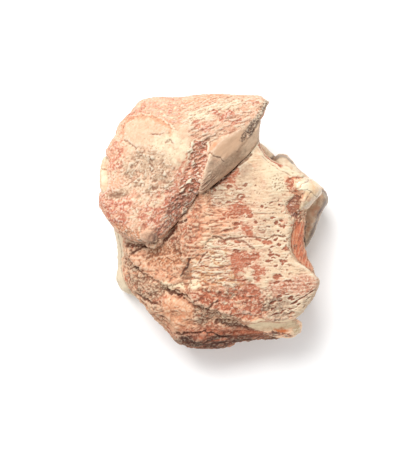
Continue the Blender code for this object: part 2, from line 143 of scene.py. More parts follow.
def rollBall():
    corners, faces = [], []
    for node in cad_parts.values():
        faces += [[len(corners) + i for i in face.vertices] for face in node.data.polygons]
        corners += [tuple(v.co * 1000) for v in node.data.vertices]
    tree = BVHTree.FromPolygons(corners, faces)
    xs = np.arange(-seams["halfX"], seams["halfX"], seams["cell"])
    ys = np.arange(-seams["halfY"], seams["halfY"], seams["cell"])
    top = np.full((len(xs), len(ys)), seams["bottom"])
    for i, x in enumerate(xs):
        for j, y in enumerate(ys):
            hit = tree.ray_cast(Vector((x, y, seams["from"])), Vector((0, 0, -1)))[0]
            if hit is not None:
                top[i, j] = hit.z
    reach = int(seams["ball"] / seams["cell"])
    span = range(-reach, reach + 1)
    offsets = [(i, j) for i in span for j in span if i * i + j * j <= reach * reach]
    rolled = top
    for sign, outside in ((1, seams["bottom"]), (-1, seams["ceiling"])):
        padded = np.pad(rolled, reach, constant_values=outside)
        found = []
        for i, j in offsets:
            rise = math.sqrt(max(0.0, seams["ball"] ** 2 - (i * i + j * j) * seams["cell"] ** 2))
            moved = padded[reach + i:reach + i + len(xs), reach + j:reach + j + len(ys)]
            found.append(moved + sign * rise)
        rolled = np.max(found, 0) if sign > 0 else np.min(found, 0)
    return xs, ys, top, rolled


ballWork = rollBall()
print("the seams are found")


def seamFilling(outline, below):  # a closed mesh that fills the seams inside an outline on the chart
    xs, ys, top, rolled = ballWork
    gridX, gridY = np.meshgrid(xs, ys, indexing="ij")
    u, v = onChart(gridX.ravel(), gridY.ravel())
    inside = (toPath(u, v, outline, True).reshape(gridX.shape) > 0) & (top > 0)
    cells = inside[:-1, :-1] & inside[1:, :-1] & inside[:-1, 1:] & inside[1:, 1:]
    height = rolled - below
    made = bmesh.new()
    layers = ({}, {})

    def corner(i, j, layer):
        if (i, j) not in layers[layer]:
            z = height[i, j] - layer * seams["depth"]
            layers[layer][i, j] = made.verts.new((xs[i] / 1000, ys[j] / 1000, z / 1000))
        return layers[layer][i, j]

    for i, j in zip(*np.nonzero(cells)):
        around = [(i, j), (i + 1, j), (i + 1, j + 1), (i, j + 1)]
        made.faces.new([corner(*c, 0) for c in around])
        made.faces.new([corner(*c, 1) for c in reversed(around)])
        beside = [(i, j - 1), (i + 1, j), (i, j + 1), (i - 1, j)]
        for k, (a, b) in enumerate(beside):
            if not (0 <= a < cells.shape[0] and 0 <= b < cells.shape[1] and cells[a, b]):
                p, q = around[k], around[(k + 1) % 4]
                made.faces.new([corner(*q, 0), corner(*p, 0), corner(*p, 1), corner(*q, 1)])
    return made


def beds(s, thick, seed):  # uneven beds that weather out as ledges and die out along the side
    lie = (s.z + 1.6 * s.noise(9, seed, 2) + 0.6 * s.noise(2.2, seed + 1, 2)) / thick
    return (terraces(lie, 0.6) - lie + 0.5) * soft(s.noise(7, seed + 2, 2), -0.5, 0.3)


# How a surface is smoothed, how far the edges of the marks wander, and what counts as a hollow for the
# painted shade and a rise for the painted highlight: for each width of hollow, the rounds of smoothing, the
# depth in mm and the share
fineness = {"keep": 0.4, "shrink": 0.05, "wander": 2.2, "wanderSize": 3.2, "jitter": 0.9, "jitterSize": 0.9,
            "hollows": [(2, 0.05, 0.4), (8, 0.14, 0.35), (30, 0.35, 0.35)]}


class Skin:  # the fine surface of one piece, in mm, while it is shaped and marked
    def __init__(self, node, name, look, filling=()):
        voxel, rounds = look["voxel"], look["smoothing"]
        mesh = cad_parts[node].data.copy()
        for outline in filling:
            extra = seamFilling(outline, seams["below"])
            extra.from_mesh(mesh)
            extra.to_mesh(mesh)
            extra.free()
        self.piece = bpy.data.objects.new(name, mesh)
        scene.collection.objects.link(self.piece)
        fine = self.piece.modifiers.new("fine", "REMESH")
        fine.mode = "VOXEL"
        fine.voxel_size = voxel * quickFactor / 1000
        graph = bpy.context.evaluated_depsgraph_get()
        made = bpy.data.meshes.new_from_object(self.piece.evaluated_get(graph))
        self.piece.modifiers.clear()
        self.piece.data = made
        made.materials.clear()
        made.name = name
        self.node, self.mesh = node, made
        ends = np.empty(len(made.edges) * 2, np.int32)
        made.edges.foreach_get("vertices", ends)
        self.a, self.b = ends.reshape(-1, 2).T
        corners = len(made.vertices)
        self.count = np.bincount(self.a, minlength=corners) + np.bincount(self.b, minlength=corners)
        points = np.empty(corners * 3)
        made.vertices.foreach_get("co", points)
        self.points = points.reshape(-1, 3) * 1000
        self.points = self.blur(self.points, rounds)
        self.readNormals()
        self.points += self.normals * (look["swell"] + fineness["shrink"] * rounds * voxel)
        self.lift = np.zeros(len(self.points))
        self.within = 1.0  # what is raised, marked or wiped is held to this part
        self.calm = 0.0  # how far the painted shade in the hollows and the painted highlight on the ridges are held back
        self.masks = {}
        self.x, self.y, self.z = self.points.T
        self.u, self.v = onChart(self.x, self.y, self.z)
        self.up = soft(self.normals[:, 2], 0.05, 0.45)  # 1 where it faces up
        self.wu, self.wv = self.wander(self.u, 90), self.wander(self.v, 92)

    def blur(self, values, rounds):
        keep = fineness["keep"]
        for turn in range(rounds):
            columns = values if values.ndim == 2 else values[:, None]
            mean = np.empty_like(columns)
            for k in range(columns.shape[1]):
                c = columns[:, k]
                total = np.bincount(self.a, c[self.b], len(c)) + np.bincount(self.b, c[self.a], len(c))
                mean[:, k] = keep * c + (1 - keep) * total / np.maximum(self.count, 1)
            values = mean if values.ndim == 2 else mean[:, 0]
        return values

    def readNormals(self):
        self.mesh.vertices.foreach_set("co", (self.points / 1000).ravel())
        self.mesh.update()
        found = np.empty(len(self.points) * 3)
        self.mesh.vertex_normals.foreach_get("vector", found)
        self.normals = found.reshape(-1, 3)

    def places(self, size, stretch, lean):  # turned and squeezed, and only where marks may fall
        self.held = np.nonzero(np.broadcast_to(self.within, len(self.x)) > 0)[0]
        c, s = math.cos(math.radians(lean)), math.sin(math.radians(lean))
        x, y, z = self.x[self.held], self.y[self.held], self.z[self.held]
        return np.stack([x * c + y * s, y * c - x * s, z], 1) / (size * np.array(stretch))

    def spread(self, values):
        whole = np.zeros(len(self.x))
        whole[self.held] = values
        return whole

    def noise(self, size, seed, octaves=1, stretch=(1, 1, 1), lean=0.0):
        place = self.places(size, stretch, lean)
        total, most = np.zeros(len(place)), 0
        for k in range(octaves):
            total += ripple(place * 2**k, seed + k) / 2**k
            most += 1 / 2**k
        return self.spread(total / most)

    def patchy(self, size, seed, low, high, octaves=3, stretch=(1, 1, 1), lean=0.0):
        return soft(self.noise(size, seed, octaves, stretch, lean), low, high)

    def wander(self, along, seed):  # the chart with its lines drawn by an unsteady hand
        broad = fineness["wander"] * self.noise(fineness["wanderSize"], seed, 2)
        return along + broad + fineness["jitter"] * self.noise(fineness["jitterSize"], seed + 1)

    def cells(self, size, seed, stretch=(1, 1)):  # scattered over the chart, sizes in mm
        self.places(size, (1, 1, 1), 0)
        u = self.wu[self.held] * chart["square"] / stretch[0]
        v = self.wv[self.held] * chart["square"] / stretch[1]
        near, _, lot = scattered(np.stack([u, v, 0 * u], 1) / size, seed, True)
        return self.spread(near), self.spread(lot)

    # broken plates at heights of their own, from -0.5 to 0.5
    def flakes(self, size, seed, stretch=(1, 1, 1), lean=0.0, warp=0.5):
        place = self.places(size, stretch, lean)
        place += warp * np.stack([ripple(place * 1.3, seed + k) for k in (50, 51, 52)], 1)
        near, other, lot = scattered(place, seed)
        return self.spread((lot - 0.35) * soft(other - near, 0.0, 0.3) - 0.15)

    def drawn(self, wobble):
        return self.u + wobble * (self.wu - self.u), self.v + wobble * (self.wv - self.v)

    def spot(self, u, v, across, down=None, turn=0, edge=0.3, wobble=1.0):
        wu, wv = self.drawn(wobble)
        c, s = math.cos(math.radians(turn)), math.sin(math.radians(turn))
        du, dv = wu - u, wv - v
        away = np.hypot((du * c - dv * s) / across, (du * s + dv * c) / (down or across))
        return (1 - soft(away, 1 - edge, 1 + edge)) * self.up

    def area(self, points, edge, wobble=1.0):
        return soft(toPath(*self.drawn(wobble), points, True), -edge, edge) * self.up

    def line(self, points, width, wobble=0.3):
        return (1 - soft(toPath(*self.drawn(wobble), points), width * 0.25, width)) * self.up

    def raiseBy(self, height):
        self.lift = self.lift + height * self.within

    def mark(self, where, **amounts):  # puts stains on a part of the surface
        for name, amount in amounts.items():
            kept = 1 - self.masks.get(name, 0)
            self.masks[name] = 1 - kept * (1 - np.clip(amount * where, 0, 1) * self.within)

    def wipe(self, where, **amounts):  # takes stains off again
        for name, amount in amounts.items():
            kept = 1 - np.clip(amount * where, 0, 1) * self.within
            self.masks[name] = self.masks.get(name, 0) * kept

    def crack(self, points, width, wobble, depth, dirt):
        furrow = self.line(points, width, wobble)
        self.raiseBy(-depth * furrow)
        self.mark(furrow, dirt=dirt)

    def finish(self, finish, slotName):
        self.points = self.points + self.normals * self.lift[:, None]
        low, high = (np.array(corner) * 1000 for corner in cadBounds)
        self.points = np.clip(self.points, low, high)
        self.readNormals()
        # hollows found here are darkened with painted shade, and rises are lightened with a painted highlight
        whole = 0.0
        for rounds, depth, share in fineness["hollows"]:
            sunk = ((self.blur(self.points, rounds) - self.points) * self.normals).sum(1)
            whole = whole + share * np.clip(sunk / depth, -1.5, 1.5)
        self.masks["hollow"] = np.clip(whole, 0, 1) * (1 - self.calm)
        self.masks["ridge"] = np.clip(-whole, 0, 1) * (1 - self.calm)
        for name in ("red", "crust", "pale", "dirt", "blush", "gloss", "rust"):
            self.masks.setdefault(name, 0.0)
        for name, values in self.masks.items():
            layer = self.mesh.attributes.new(name, "FLOAT", "POINT")
            layer.data.foreach_set("value", np.broadcast_to(values, len(self.points)).astype(np.float32))
        self.mesh.shade_smooth()
        self.mesh.materials.append(finish)
        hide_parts(self.node)
        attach(self.piece, "root")
        print(self.piece.name, "has", len(self.mesh.polygons), "faces")


# Finishes

class Flow:  # a value on its way through a material
    def __init__(self, finish, socket):
        self.finish, self.socket = finish, socket

    def maths(self, how, other=0.0, turned=False):
        pair = [other, self] if turned else [self, other]
        return self.finish.node("ShaderNodeMath", {"operation": how}, dict(enumerate(pair)))

    def __add__(self, other): return self.maths("ADD", other)
    def __sub__(self, other): return self.maths("SUBTRACT", other)
    def __mul__(self, other): return self.maths("MULTIPLY", other)
    def __rsub__(self, other): return self.maths("SUBTRACT", other, True)
    __radd__, __rmul__ = __add__, __mul__

    def between(self, low, high):  # 0 at low, 1 at high
        return self.finish.node("ShaderNodeMath", {"operation": "MULTIPLY", "use_clamp": True},
                                {0: self - low, 1: 1 / (high - low)})


class Finish:
    def __init__(self, name):
        self.material = bpy.data.materials.new(name)
        self.material.use_nodes = True
        self.tree = self.material.node_tree
        self.shader = self.tree.nodes["Principled BSDF"]

    def feed(self, socket, value):
        if isinstance(value, Flow):
            self.tree.links.new(value.socket, socket)
        else:
            socket.default_value = value

    def node(self, kind, settings=None, sockets=None, out=0):
        made = self.tree.nodes.new(kind)
        for key, value in (settings or {}).items():
            setattr(made, key, value)
        for key, value in (sockets or {}).items():
            self.feed(made.inputs[key], value)
        return Flow(self, made.outputs[out])

    def mask(self, name):
        return self.node("ShaderNodeAttribute", {"attribute_name": name}, out="Fac")

    def grain(self, size, detail=2.0, rough=0.5):
        place = self.node("ShaderNodeTexCoord", out="Object")
        sockets = {"Vector": place, "Scale": 1000 / size, "Detail": detail, "Roughness": rough}
        return self.node("ShaderNodeTexNoise", None, sockets)

    def blend(self, share, first, second, how="MIX"):
        settings = {"data_type": "RGBA", "blend_type": how}
        return self.node("ShaderNodeMix", settings, {0: share, 6: first, 7: second}, out=2)


def pigment(red, green, blue, lift=1.0):  # the colour of the stuff itself, from how it looks in this light
    def straight(c):
        c /= 255
        return c / 12.92 if c <= 0.04045 else ((c + 0.055) / 1.055) ** 2.4
    return (*(min(whitest, lift * straight(c) / daylight) for c in (red, green, blue)), 1.0)


# Sizes of the grain in mm, the height of the finest relief in metres, and the shine
stone = {"broad": 5.0, "middle": 1.3, "fine": 0.5, "dust": 0.2, "reliefHeight": 0.00022, "shine": 0.35,
         "coat": 0.7, "coatRoughness": 0.08, "glossRoughness": 0.12}


def fossilFinish(name, look):
    made = Finish(name)
    lift = look.get("lift", 1.0)  # a fourth number in a colour lifts that one colour further
    colour = {key: pigment(*value[:3], lift * (*value, 1.0)[3])
              for key, value in look.items() if isinstance(value, tuple)}
    broad, middle = made.grain(stone["broad"], 3), made.grain(stone["middle"], 3)
    fine, dust = made.grain(stone["fine"], 4, 0.65), made.grain(stone["dust"], 2)
    red, crust, pale, dirt, blush = (made.mask(key) for key in ("red", "crust", "pale", "dirt", "blush"))
    hollow, ridge, gloss, rust = (made.mask(key) for key in ("hollow", "ridge", "gloss", "rust"))
    mottle = (broad * 0.4 + middle * 0.35 + fine * 0.25).between(0.38, 0.62)
    bone = made.blend(mottle, colour["light"], colour["dark"])
    bone = made.blend(blush * (0.35 + middle * 0.4 + fine * 0.5), bone, colour["blush"])
    # pale bone, and a painted highlight where the marks stand for light
    bone = made.blend((pale + (fine - 0.5) * 0.6).between(0.15, 0.85), bone, colour["pale"])
    redTone = made.blend((fine * 0.7 + dust * 0.3).between(0.38, 0.62), colour["red"], colour["deepRed"])
    redder = (red + (fine - 0.5) * 0.8 + (middle - 0.5) * 0.4).between(0.25, 0.72)
    bone = made.blend(redder, bone, redTone)
    crumbs = (middle * 0.3 + fine * 0.4 + dust * 0.3).between(0.4, 0.6)
    crustTone = made.blend(crumbs, colour["crust"], colour["deepCrust"])
    crusted = (crust + (fine - 0.5) * 0.7 + (middle - 0.5) * 0.5).between(0.15, 0.85)
    bone = made.blend(crusted, bone, crustTone)
    bone = made.blend((rust + (middle - 0.5) * 0.5).between(0.2, 0.9), bone, colour["rust"])
    # dark dirt, and painted shade where the marks stand for shadow
    bone = made.blend((dirt + (fine - 0.5) * 0.5).between(0.2, 0.9), bone, colour["dirt"])
    # painted shade in the hollows with the shadow colour, and a painted highlight on the ridges with the edge
    # colour
    paintedHollowShade = (hollow + (dust - 0.5) * 0.3).between(0.12, 0.95)
    bone = made.blend(paintedHollowShade * look["hollowShadeStrength"], bone, colour["shadow"])
    bone = made.blend(ridge.between(0.15, 1.0) * look["ridgeHighlightStrength"], bone, colour["edge"])
    speck = made.blend(dust.between(0.3, 0.7), pigment(215, 205, 200), pigment(255, 255, 255))
    bone = made.blend(look["speckle"], bone, speck, "MULTIPLY")
    made.feed(made.shader.inputs["Base Color"], bone)
    polish = gloss * (look["roughness"] - stone["glossRoughness"])
    made.feed(made.shader.inputs["Roughness"], look["roughness"] + (fine - 0.5) * 0.15 - polish)
    made.feed(made.shader.inputs["Coat Weight"], gloss * stone["coat"])
    made.feed(made.shader.inputs["Coat Roughness"], stone["coatRoughness"])
    made.feed(made.shader.inputs["Specular IOR Level"], stone["shine"])
    relief = (fine * 0.6 + dust * 0.35 + crust * fine * 0.8) * (1 - gloss * 0.8)
    bump = made.node("ShaderNodeBump", None, {
        "Strength": look["bump"], "Distance": stone["reliefHeight"], "Height": relief})
    made.feed(made.shader.inputs["Normal"], bump)
    return made.material


# The near branch of the jaw: the broad plate
# (each piece's dictionary holds its colours, its shadow and edge colours among them for the painted shade in
# the hollows and the painted highlight on the ridges, and the places of its marks on the chart)
ramus = {
    "voxel": 0.30, "smoothing": 10, "swell": 0.12,
    "light": (252, 225, 190), "dark": (240, 203, 165), "pale": (254, 237, 200), "blush": (232, 168, 140),
    "red": (226, 146, 110), "deepRed": (186, 102, 74), "crust": (222, 192, 162), "deepCrust": (196, 164, 136),
    "rust": (230, 162, 100), "dirt": (112, 70, 52), "shadow": (146, 90, 68), "edge": (255, 244, 218),
    "hollowShadeStrength": 0.8, "ridgeHighlightStrength": 0.6, "speckle": 0.45, "roughness": 0.75, "bump": 0.6,
    "lift": 0.94, "ledgeHeight": 0.38, "pitDepth": 0.45,
    "redPatches": [  # outlines of the places where the bone has flaked off down to red mud
        [(229, 254), (246, 251), (258, 254), (263, 258), (250, 262), (243, 268), (247, 278), (258, 288),
         (266, 300), (256, 300), (244, 286), (232, 276), (228, 264)],
        [(228, 205), (240, 202), (248, 206), (249, 212), (238, 216), (226, 220), (220, 216), (230, 210)],
        [(250, 266), (258, 262), (265, 268), (264, 275), (258, 282), (252, 274)],
        [(216, 178), (228, 173), (239, 164), (241, 170), (234, 178), (238, 188), (226, 184), (214, 186)],
        [(240, 222), (250, 226), (257, 236), (252, 240), (244, 232)],
    ],
    "pits": [(245, 185, 2.6, 1.6), (222, 219, 3.6, 1.5), (281, 221, 2.4, 1.6), (276, 223, 1.7, 2.2),
             (283, 227, 1.8, 1.5), (267, 242, 5.6, 2.4), (271, 255, 3.4, 1.5), (281, 261, 2, 1.8),
             (276, 277, 3.4, 2.8), (228, 187, 2.0, 1.8), (255, 222, 2.2, 1.6), (262, 206, 1.6, 1.6),
             (236, 228, 2.6, 1.5)],
    # a ring and a curl of bone: the outer spot, and the inner one that leaves its middle free
    "ring": [(240.5, 197, 4.4, 3.2, 10, 0.35, 0.5), (240.5, 197, 2.2, 1.6, 10, 0.5, 0.5)],
    "curl": [(262, 229, 4.2, 3.8, 0, 0.35, 0.6), (262.5, 228, 2.6, 2.2, 0, 0.5, 0.6)],
    "cracks": [[(214, 237), (225, 239), (236, 239), (250, 236.5), (266, 239), (277, 235), (286, 237)],
               [(219, 241), (236, 240), (246, 243), (254, 250)], [(200, 213), (210, 214)],
               [(206, 252), (202, 258), (200, 262)]],
    "places": {
        "quiet": [(232, 160), (246, 146), (262, 148), (284, 166), (296, 184), (284, 196), (262, 198),
            (244, 192), (232, 178)],
        "yellow": [(186, 246), (226, 246), (232, 268), (246, 286), (236, 296), (196, 292), (182, 272)],
        "mudLap": [(232, 286), (256, 288), (282, 298), (294, 318), (260, 326), (225, 318), (200, 300),
            (200, 290)],
        "flushed": [(200, 190), (262, 200), (262, 250), (226, 256), (190, 250)],
        "smallHoles": [(262, 206), (282, 198), (290, 222), (288, 256), (290, 270), (276, 270), (266, 250)],
        "wideHoles": [(210, 176), (286, 180), (292, 290), (232, 292)],
        "specks": [(226, 180), (272, 186), (290, 200), (290, 270), (262, 280), (226, 250)],
        "notch": [(252, 128), (258, 142), (269, 156), (282, 165), (308, 179)],
        "ridge": [(284, 168), (296, 174), (309, 181)],
        "struts": [(262, 302), (284, 293), (302, 296), (318, 286), (314, 298), (300, 312), (278, 320),
            (262, 314)],
        "grey": [(206, 184), (224, 176), (242, 164), (256, 176), (252, 190), (240, 204), (210, 208)],
        "smooth": [(239, 163), (245, 161), (253, 164), (252, 172), (246, 176), (240, 171)],
        "greyMiddle": [(256, 222), (272, 222), (272, 236), (254, 234)],
        "greyChip": [(190, 264), (194, 266), (192, 277), (184, 278)],
        "undercut": [(203, 193), (212, 187), (222, 179), (240, 163), (251, 154)],
        "cream": [(262, 152), (272, 158), (296, 176), (284, 196), (272, 192), (262, 176)],
        "bumps": [(270, 176), (284, 176), (284, 192), (272, 190)],
        "rustyCorner": [(190, 252), (196, 256), (192, 262), (186, 260)],
        "pinkFlakes": [
            ([(294, 276), (304, 273), (321, 279), (318, 288), (306, 298), (294, 294), (288, 284)], 20),
            ([(270, 280), (290, 278), (293, 292), (278, 298), (266, 292)], 21),
        ],
        "cleanChips": [
            [(261, 292), (270, 290), (275, 296), (270, 304), (262, 302)],
            [(192, 233), (204, 230), (208, 240), (202, 248), (193, 246)],
            [(240, 272), (250, 270), (256, 280), (250, 288), (242, 282)],
            [(206, 252), (222, 250), (226, 262), (212, 266)],
        ],
    },
}


def dressPlate(s):  # layered bone, also where the mud laps thinly over it
    at = ramus["places"]
    quiet = s.area(at["quiet"], 8)
    left = soft(s.u, 266, 212)
    yellow = s.area(at["yellow"], 5)
    low = s.area(at["mudLap"], 3)
    bend = s.noise(4.5, 2, 2)
    s.raiseBy(0.30 * s.noise(6.5, 1, 2))
    shelf = terraces((s.noise(1.5, 3, 2, (4.5, 1, 2)) + 0.4 * bend) * 2.0, 0.5) / 2.0
    ledges = ramus["ledgeHeight"] * (0.6 + 0.8 * left + 0.5 * yellow) * shelf
    s.raiseBy(ledges * (1 - 0.7 * quiet) * (1 - 0.6 * low) * s.up)
    thin = terraces((s.noise(0.75, 5, 2, (5.5, 1, 2)) + 0.2 * bend) * 1.7, 0.4) / 1.7
    s.raiseBy(0.22 * thin * (1 - 0.5 * quiet) * s.up)
    s.raiseBy((0.09 * s.noise(0.5, 6, 2, (3, 1, 2)) + 0.12 * s.noise(1.1, 4, 3)) * s.up)
    s.mark(s.area(at["flushed"], 9) * s.patchy(2.2, 7, -0.4, 0.5, 3, (2, 1, 1)), blush=0.7)
    s.mark(s.patchy(1.6, 8, 0.0, 0.6, 3, (1.8, 1, 1)) * (1 - 0.7 * quiet), blush=0.6)
    s.mark(quiet * s.patchy(3.0, 9, 0.0, 0.7, 2), blush=0.55)
    chips = s.flakes(1.5, 80, (1.9, 0.9, 1), 4)
    s.raiseBy(0.5 * left * (1 - quiet) * chips)
    s.mark(left * (1 - quiet) * s.patchy(1.1, 40, 0.08, 0.4, 3, (1.9, 1, 1), 6), red=0.75)
    s.mark(soft(thin, 0.0, 0.4) * (1 - low), pale=0.7)
    s.mark(left * (1 - quiet) * s.patchy(1.2, 86, 0.0, 0.5, 3, (1.8, 1, 1)), dirt=0.3)
    # mud on the lower part, with islands of bone left in it
    islands = s.patchy(1.9, 10, -0.2, 0.3, 3, (1.2, 1, 1), -20)
    s.raiseBy(low * (0.4 * islands + 0.5 * s.flakes(1.4, 11, (1.2, 1, 1), -20)))
    s.mark(low * (1 - 0.7 * islands), red=1)
    s.mark(low, blush=1)
    s.mark(low * s.patchy(1.4, 29, -0.25, 0.5), dirt=0.7)
    s.mark(low * s.patchy(2.4, 89, 0.12, 0.36, 3, (1.4, 1, 1), -20), pale=0.7)
    s.calm = np.maximum(s.calm, 0.4 * low)
    # small holes, filled with red
    zone = s.area(at["smallHoles"], 6)
    broad = s.area(at["wideHoles"], 6) * (1 - 0.8 * quiet)
    near, lot = s.cells(1.75, 12, (1.3, 0.95))
    hole = (1 - soft(near, 0.06 + 0.14 * lot, 0.24 + 0.2 * lot)) * soft(lot, 0.4, 0.5) * zone
    near, lot = s.cells(2.6, 13, (1.9, 0.8))
    wider = 1 - soft(near, 0.04 + 0.12 * lot, 0.24 + 0.16 * lot)
    hole = np.maximum(hole, wider * soft(lot, 0.5, 0.6) * broad)
    near, lot = s.cells(0.95, 14, (1.2, 1))
    specks = s.area(at["specks"], 8)
    hole = np.maximum(hole, 0.6 * (1 - soft(near, 0.06, 0.34)) * soft(lot, 0.72, 0.8) * specks)
    for u, v, across, down in ramus["pits"]:
        hole = np.maximum(hole, s.spot(u, v, across, down, 0, 0.5, 0.8))
    ring, curl = (s.spot(*outer) - s.spot(*inner) for outer, inner in (ramus["ring"], ramus["curl"]))
    hole = np.maximum(hole, np.maximum(ring, 0.6 * curl))
    s.raiseBy(-ramus["pitDepth"] * hole)
    s.mark(hole, red=0.9)
    flaked = 0.0
    for outline in ramus["redPatches"]:
        s.mark(s.area(outline, 6.0, 2.0), blush=0.9)
        patch = s.area(outline, 3.0, 2.2) * s.patchy(0.9, 16, -0.7, -0.1, 3, (2, 1, 1))
        s.raiseBy(-0.2 * patch + 0.4 * patch * s.flakes(0.9, 15, (1.6, 1, 1)))
        s.mark(patch, red=0.85)
        s.wipe(patch, pale=0.8)
        flaked = np.maximum(flaked, patch)
    s.calm = np.maximum(s.calm, 0.4 * flaked)
    for points in ramus["cracks"]:
        s.crack(points, 1.5, 0.9, 0.45, 0.4)
    # thin layers along the notch edge
    edge = toPath(s.u, s.v, at["notch"])
    layered = s.up * (1 - soft(edge, 4, 9)) * soft(s.u, 255, 261)
    s.raiseBy(0.13 * layered * np.sin(edge * 2.2 + 2 * s.noise(3, 16)))
    s.mark(layered * (1 - soft(edge, 1.5, 4.5)) * (1 - soft(s.u, 278, 288)), red=0.9)
    s.mark(layered * soft(np.sin(edge * 1.4 + 2 * s.noise(4, 17)), 0.0, 0.7), blush=0.7)
    ridge = s.line(at["ridge"], 4)
    s.raiseBy(0.4 * ridge)
    s.mark(ridge, pale=0.7)
    # struts and slots along the lower margin, rising to the right
    struts = s.area(at["struts"], 4)
    slots = s.patchy(0.95, 18, 0.02, 0.3, 2, (3.4, 1, 1), 26) * struts
    s.raiseBy(-0.5 * slots)
    s.wipe(struts, red=0.85, blush=0.8)
    s.mark(slots, red=0.95)
    s.mark(struts * s.patchy(2, 19, -0.5, 0.3, 1) * (1 - slots), crust=0.8)
    s.mark(slots, dirt=0.5)
    s.mark(struts * s.patchy(1.8, 87, -0.4, 0.5), dirt=0.34)
    for outline, seed in at["pinkFlakes"]:
        pink = s.area(outline, 3)
        s.raiseBy(0.35 * pink * s.flakes(1.0, seed))
        s.mark(pink, blush=1)
        s.mark(pink * s.patchy(1.2, seed + 60, -0.2, 0.3), red=0.7)
        s.mark(pink * s.patchy(0.7, seed + 64, 0.25, 0.5, 2), pale=0.7)
    for outline in at["cleanChips"]:
        cleanChip = s.area(outline, 2.4, 2.4) * s.patchy(1.2, 88, -0.6, 0.3, 3, (1.5, 1, 1))
        s.raiseBy(0.2 * cleanChip)
        s.wipe(cleanChip, red=0.7)
        s.mark(cleanChip, pale=0.5)
    # clean yellow layers at the left, grey tones in the middle
    s.mark(yellow * (1 - soft(shelf, -0.5, 0.4)), blush=1)
    # the raised chips are paler and the low ground between them darker: partly painted highlight and painted
    # shade
    s.mark(yellow * soft(chips, -0.1, 0.2), pale=0.6)
    s.raiseBy(0.5 * yellow * s.flakes(1.6, 78, (1.9, 0.8, 1)))
    s.mark(yellow * (1 - soft(chips, -0.4, -0.2)), dirt=0.45)
    s.mark(yellow * s.patchy(1.4, 23, -0.3, 0.4, 3, (2, 1, 1)), rust=0.7)
    s.mark(yellow * s.patchy(1.2, 27, -0.15, 0.45, 3, (2, 1, 1)), crust=0.7)
    s.mark(yellow * s.patchy(1.0, 28, -0.05, 0.5, 3, (2, 1, 1)), dirt=0.55)
    grey = s.area(at["grey"], 7)
    s.mark(grey * s.patchy(3, 22, -0.9, 0.1, 2) * (1 - 0.8 * flaked), crust=0.5)
    s.mark(s.area(at["smooth"], 1.0, 0.6), crust=0.55)
    s.mark(s.area(at["greyMiddle"], 4), crust=0.5)
    s.mark(s.area(at["greyChip"], 1.2, 0.6), crust=1)
    # a furrow under the rim's lower edge, darkened as a painted shadow
    s.crack(at["undercut"], 3.4, 0.8, 0.5, 0.7)
    s.mark(s.area(at["cream"], 5), pale=0.6)
    s.raiseBy(0.45 * s.area(at["bumps"], 2) * s.noise(0.9, 24, 2))
    s.mark(s.spot(246, 158, 5, 4, 0, 0.8), rust=0.4)
    s.mark(s.area(at["rustyCorner"], 3), rust=0.6)


def makeRamus():
    s = Skin("near_ramus", "nearRamus", ramus)
    dressPlate(s)
    s.within = 1 - s.up
    s.mark(s.patchy(2.5, 25, -0.1, 0.4, 3, (2, 2, 0.5)), red=0.7)
    s.raiseBy(0.4 * s.flakes(1.2, 26, (3, 3, 0.6)))
    s.within = 1.0
    s.finish(fossilFinish("ramusBone", ramus), "ramus_bone")


# The near joint knob
condyle = {
    "voxel": 0.24, "smoothing": 8, "swell": 0.1,
    "light": (250, 222, 180), "dark": (236, 198, 156), "pale": (255, 244, 212), "blush": (226, 168, 130),
    "red": (208, 134, 98), "deepRed": (150, 82, 58), "crust": (206, 186, 154), "deepCrust": (168, 150, 122),
    "rust": (216, 142, 96), "dirt": (100, 64, 48), "shadow": (136, 94, 70), "edge": (255, 244, 218),
    "hollowShadeStrength": 0.65, "ridgeHighlightStrength": 0.4, "speckle": 0.25, "roughness": 0.42, "bump": 0.2,
    "cracks": [[(296, 189), (303, 184), (309, 180)], [(300, 190), (308, 190), (316, 196)],
               [(306, 200), (312, 192)]],
    "places": {
        "greyEdge": [(306, 196), (314, 200), (322, 186), (326, 196), (312, 212), (298, 216),
            (300, 206)],
        "redFoot": [(282, 194), (292, 191), (299, 197), (301, 203), (297, 214), (282, 214)],
        "redLine": [(288, 192), (287, 182), (293, 177), (300, 177)],
    },
}


def makeCondyle():
    at = condyle["places"]
    s = Skin("near_condyle", "nearCondyle", condyle)
    s.raiseBy(0.3 * s.noise(3.0, 31, 2) + 0.12 * s.noise(1.0, 32, 2))
    for points in condyle["cracks"]:
        s.crack(points, 1.1, 0.9, 0.22, 0.35)
    # a painted highlight on the top of the knob
    s.mark(s.spot(303, 186, 9, 5, -20, 0.6), pale=0.8)
    s.mark(s.patchy(1.5, 33, -0.1, 0.5), blush=0.6)
    # a greyer crust tone along the knob's lower right edge
    s.mark(s.area(at["greyEdge"], 4), crust=0.6)
    s.mark(s.spot(309, 180, 4, 3, 0, 0.6), crust=0.5)
    s.mark(s.area(at["redFoot"], 2), red=1)
    s.mark(s.line(at["redLine"], 2.6, 1.2), red=0.9)
    s.mark(s.spot(309, 199, 4, 3, 0, 0.6), rust=0.5)
    s.mark(1, gloss=0.45)
    s.finish(fossilFinish("knobBone", condyle), "condyle_bone")


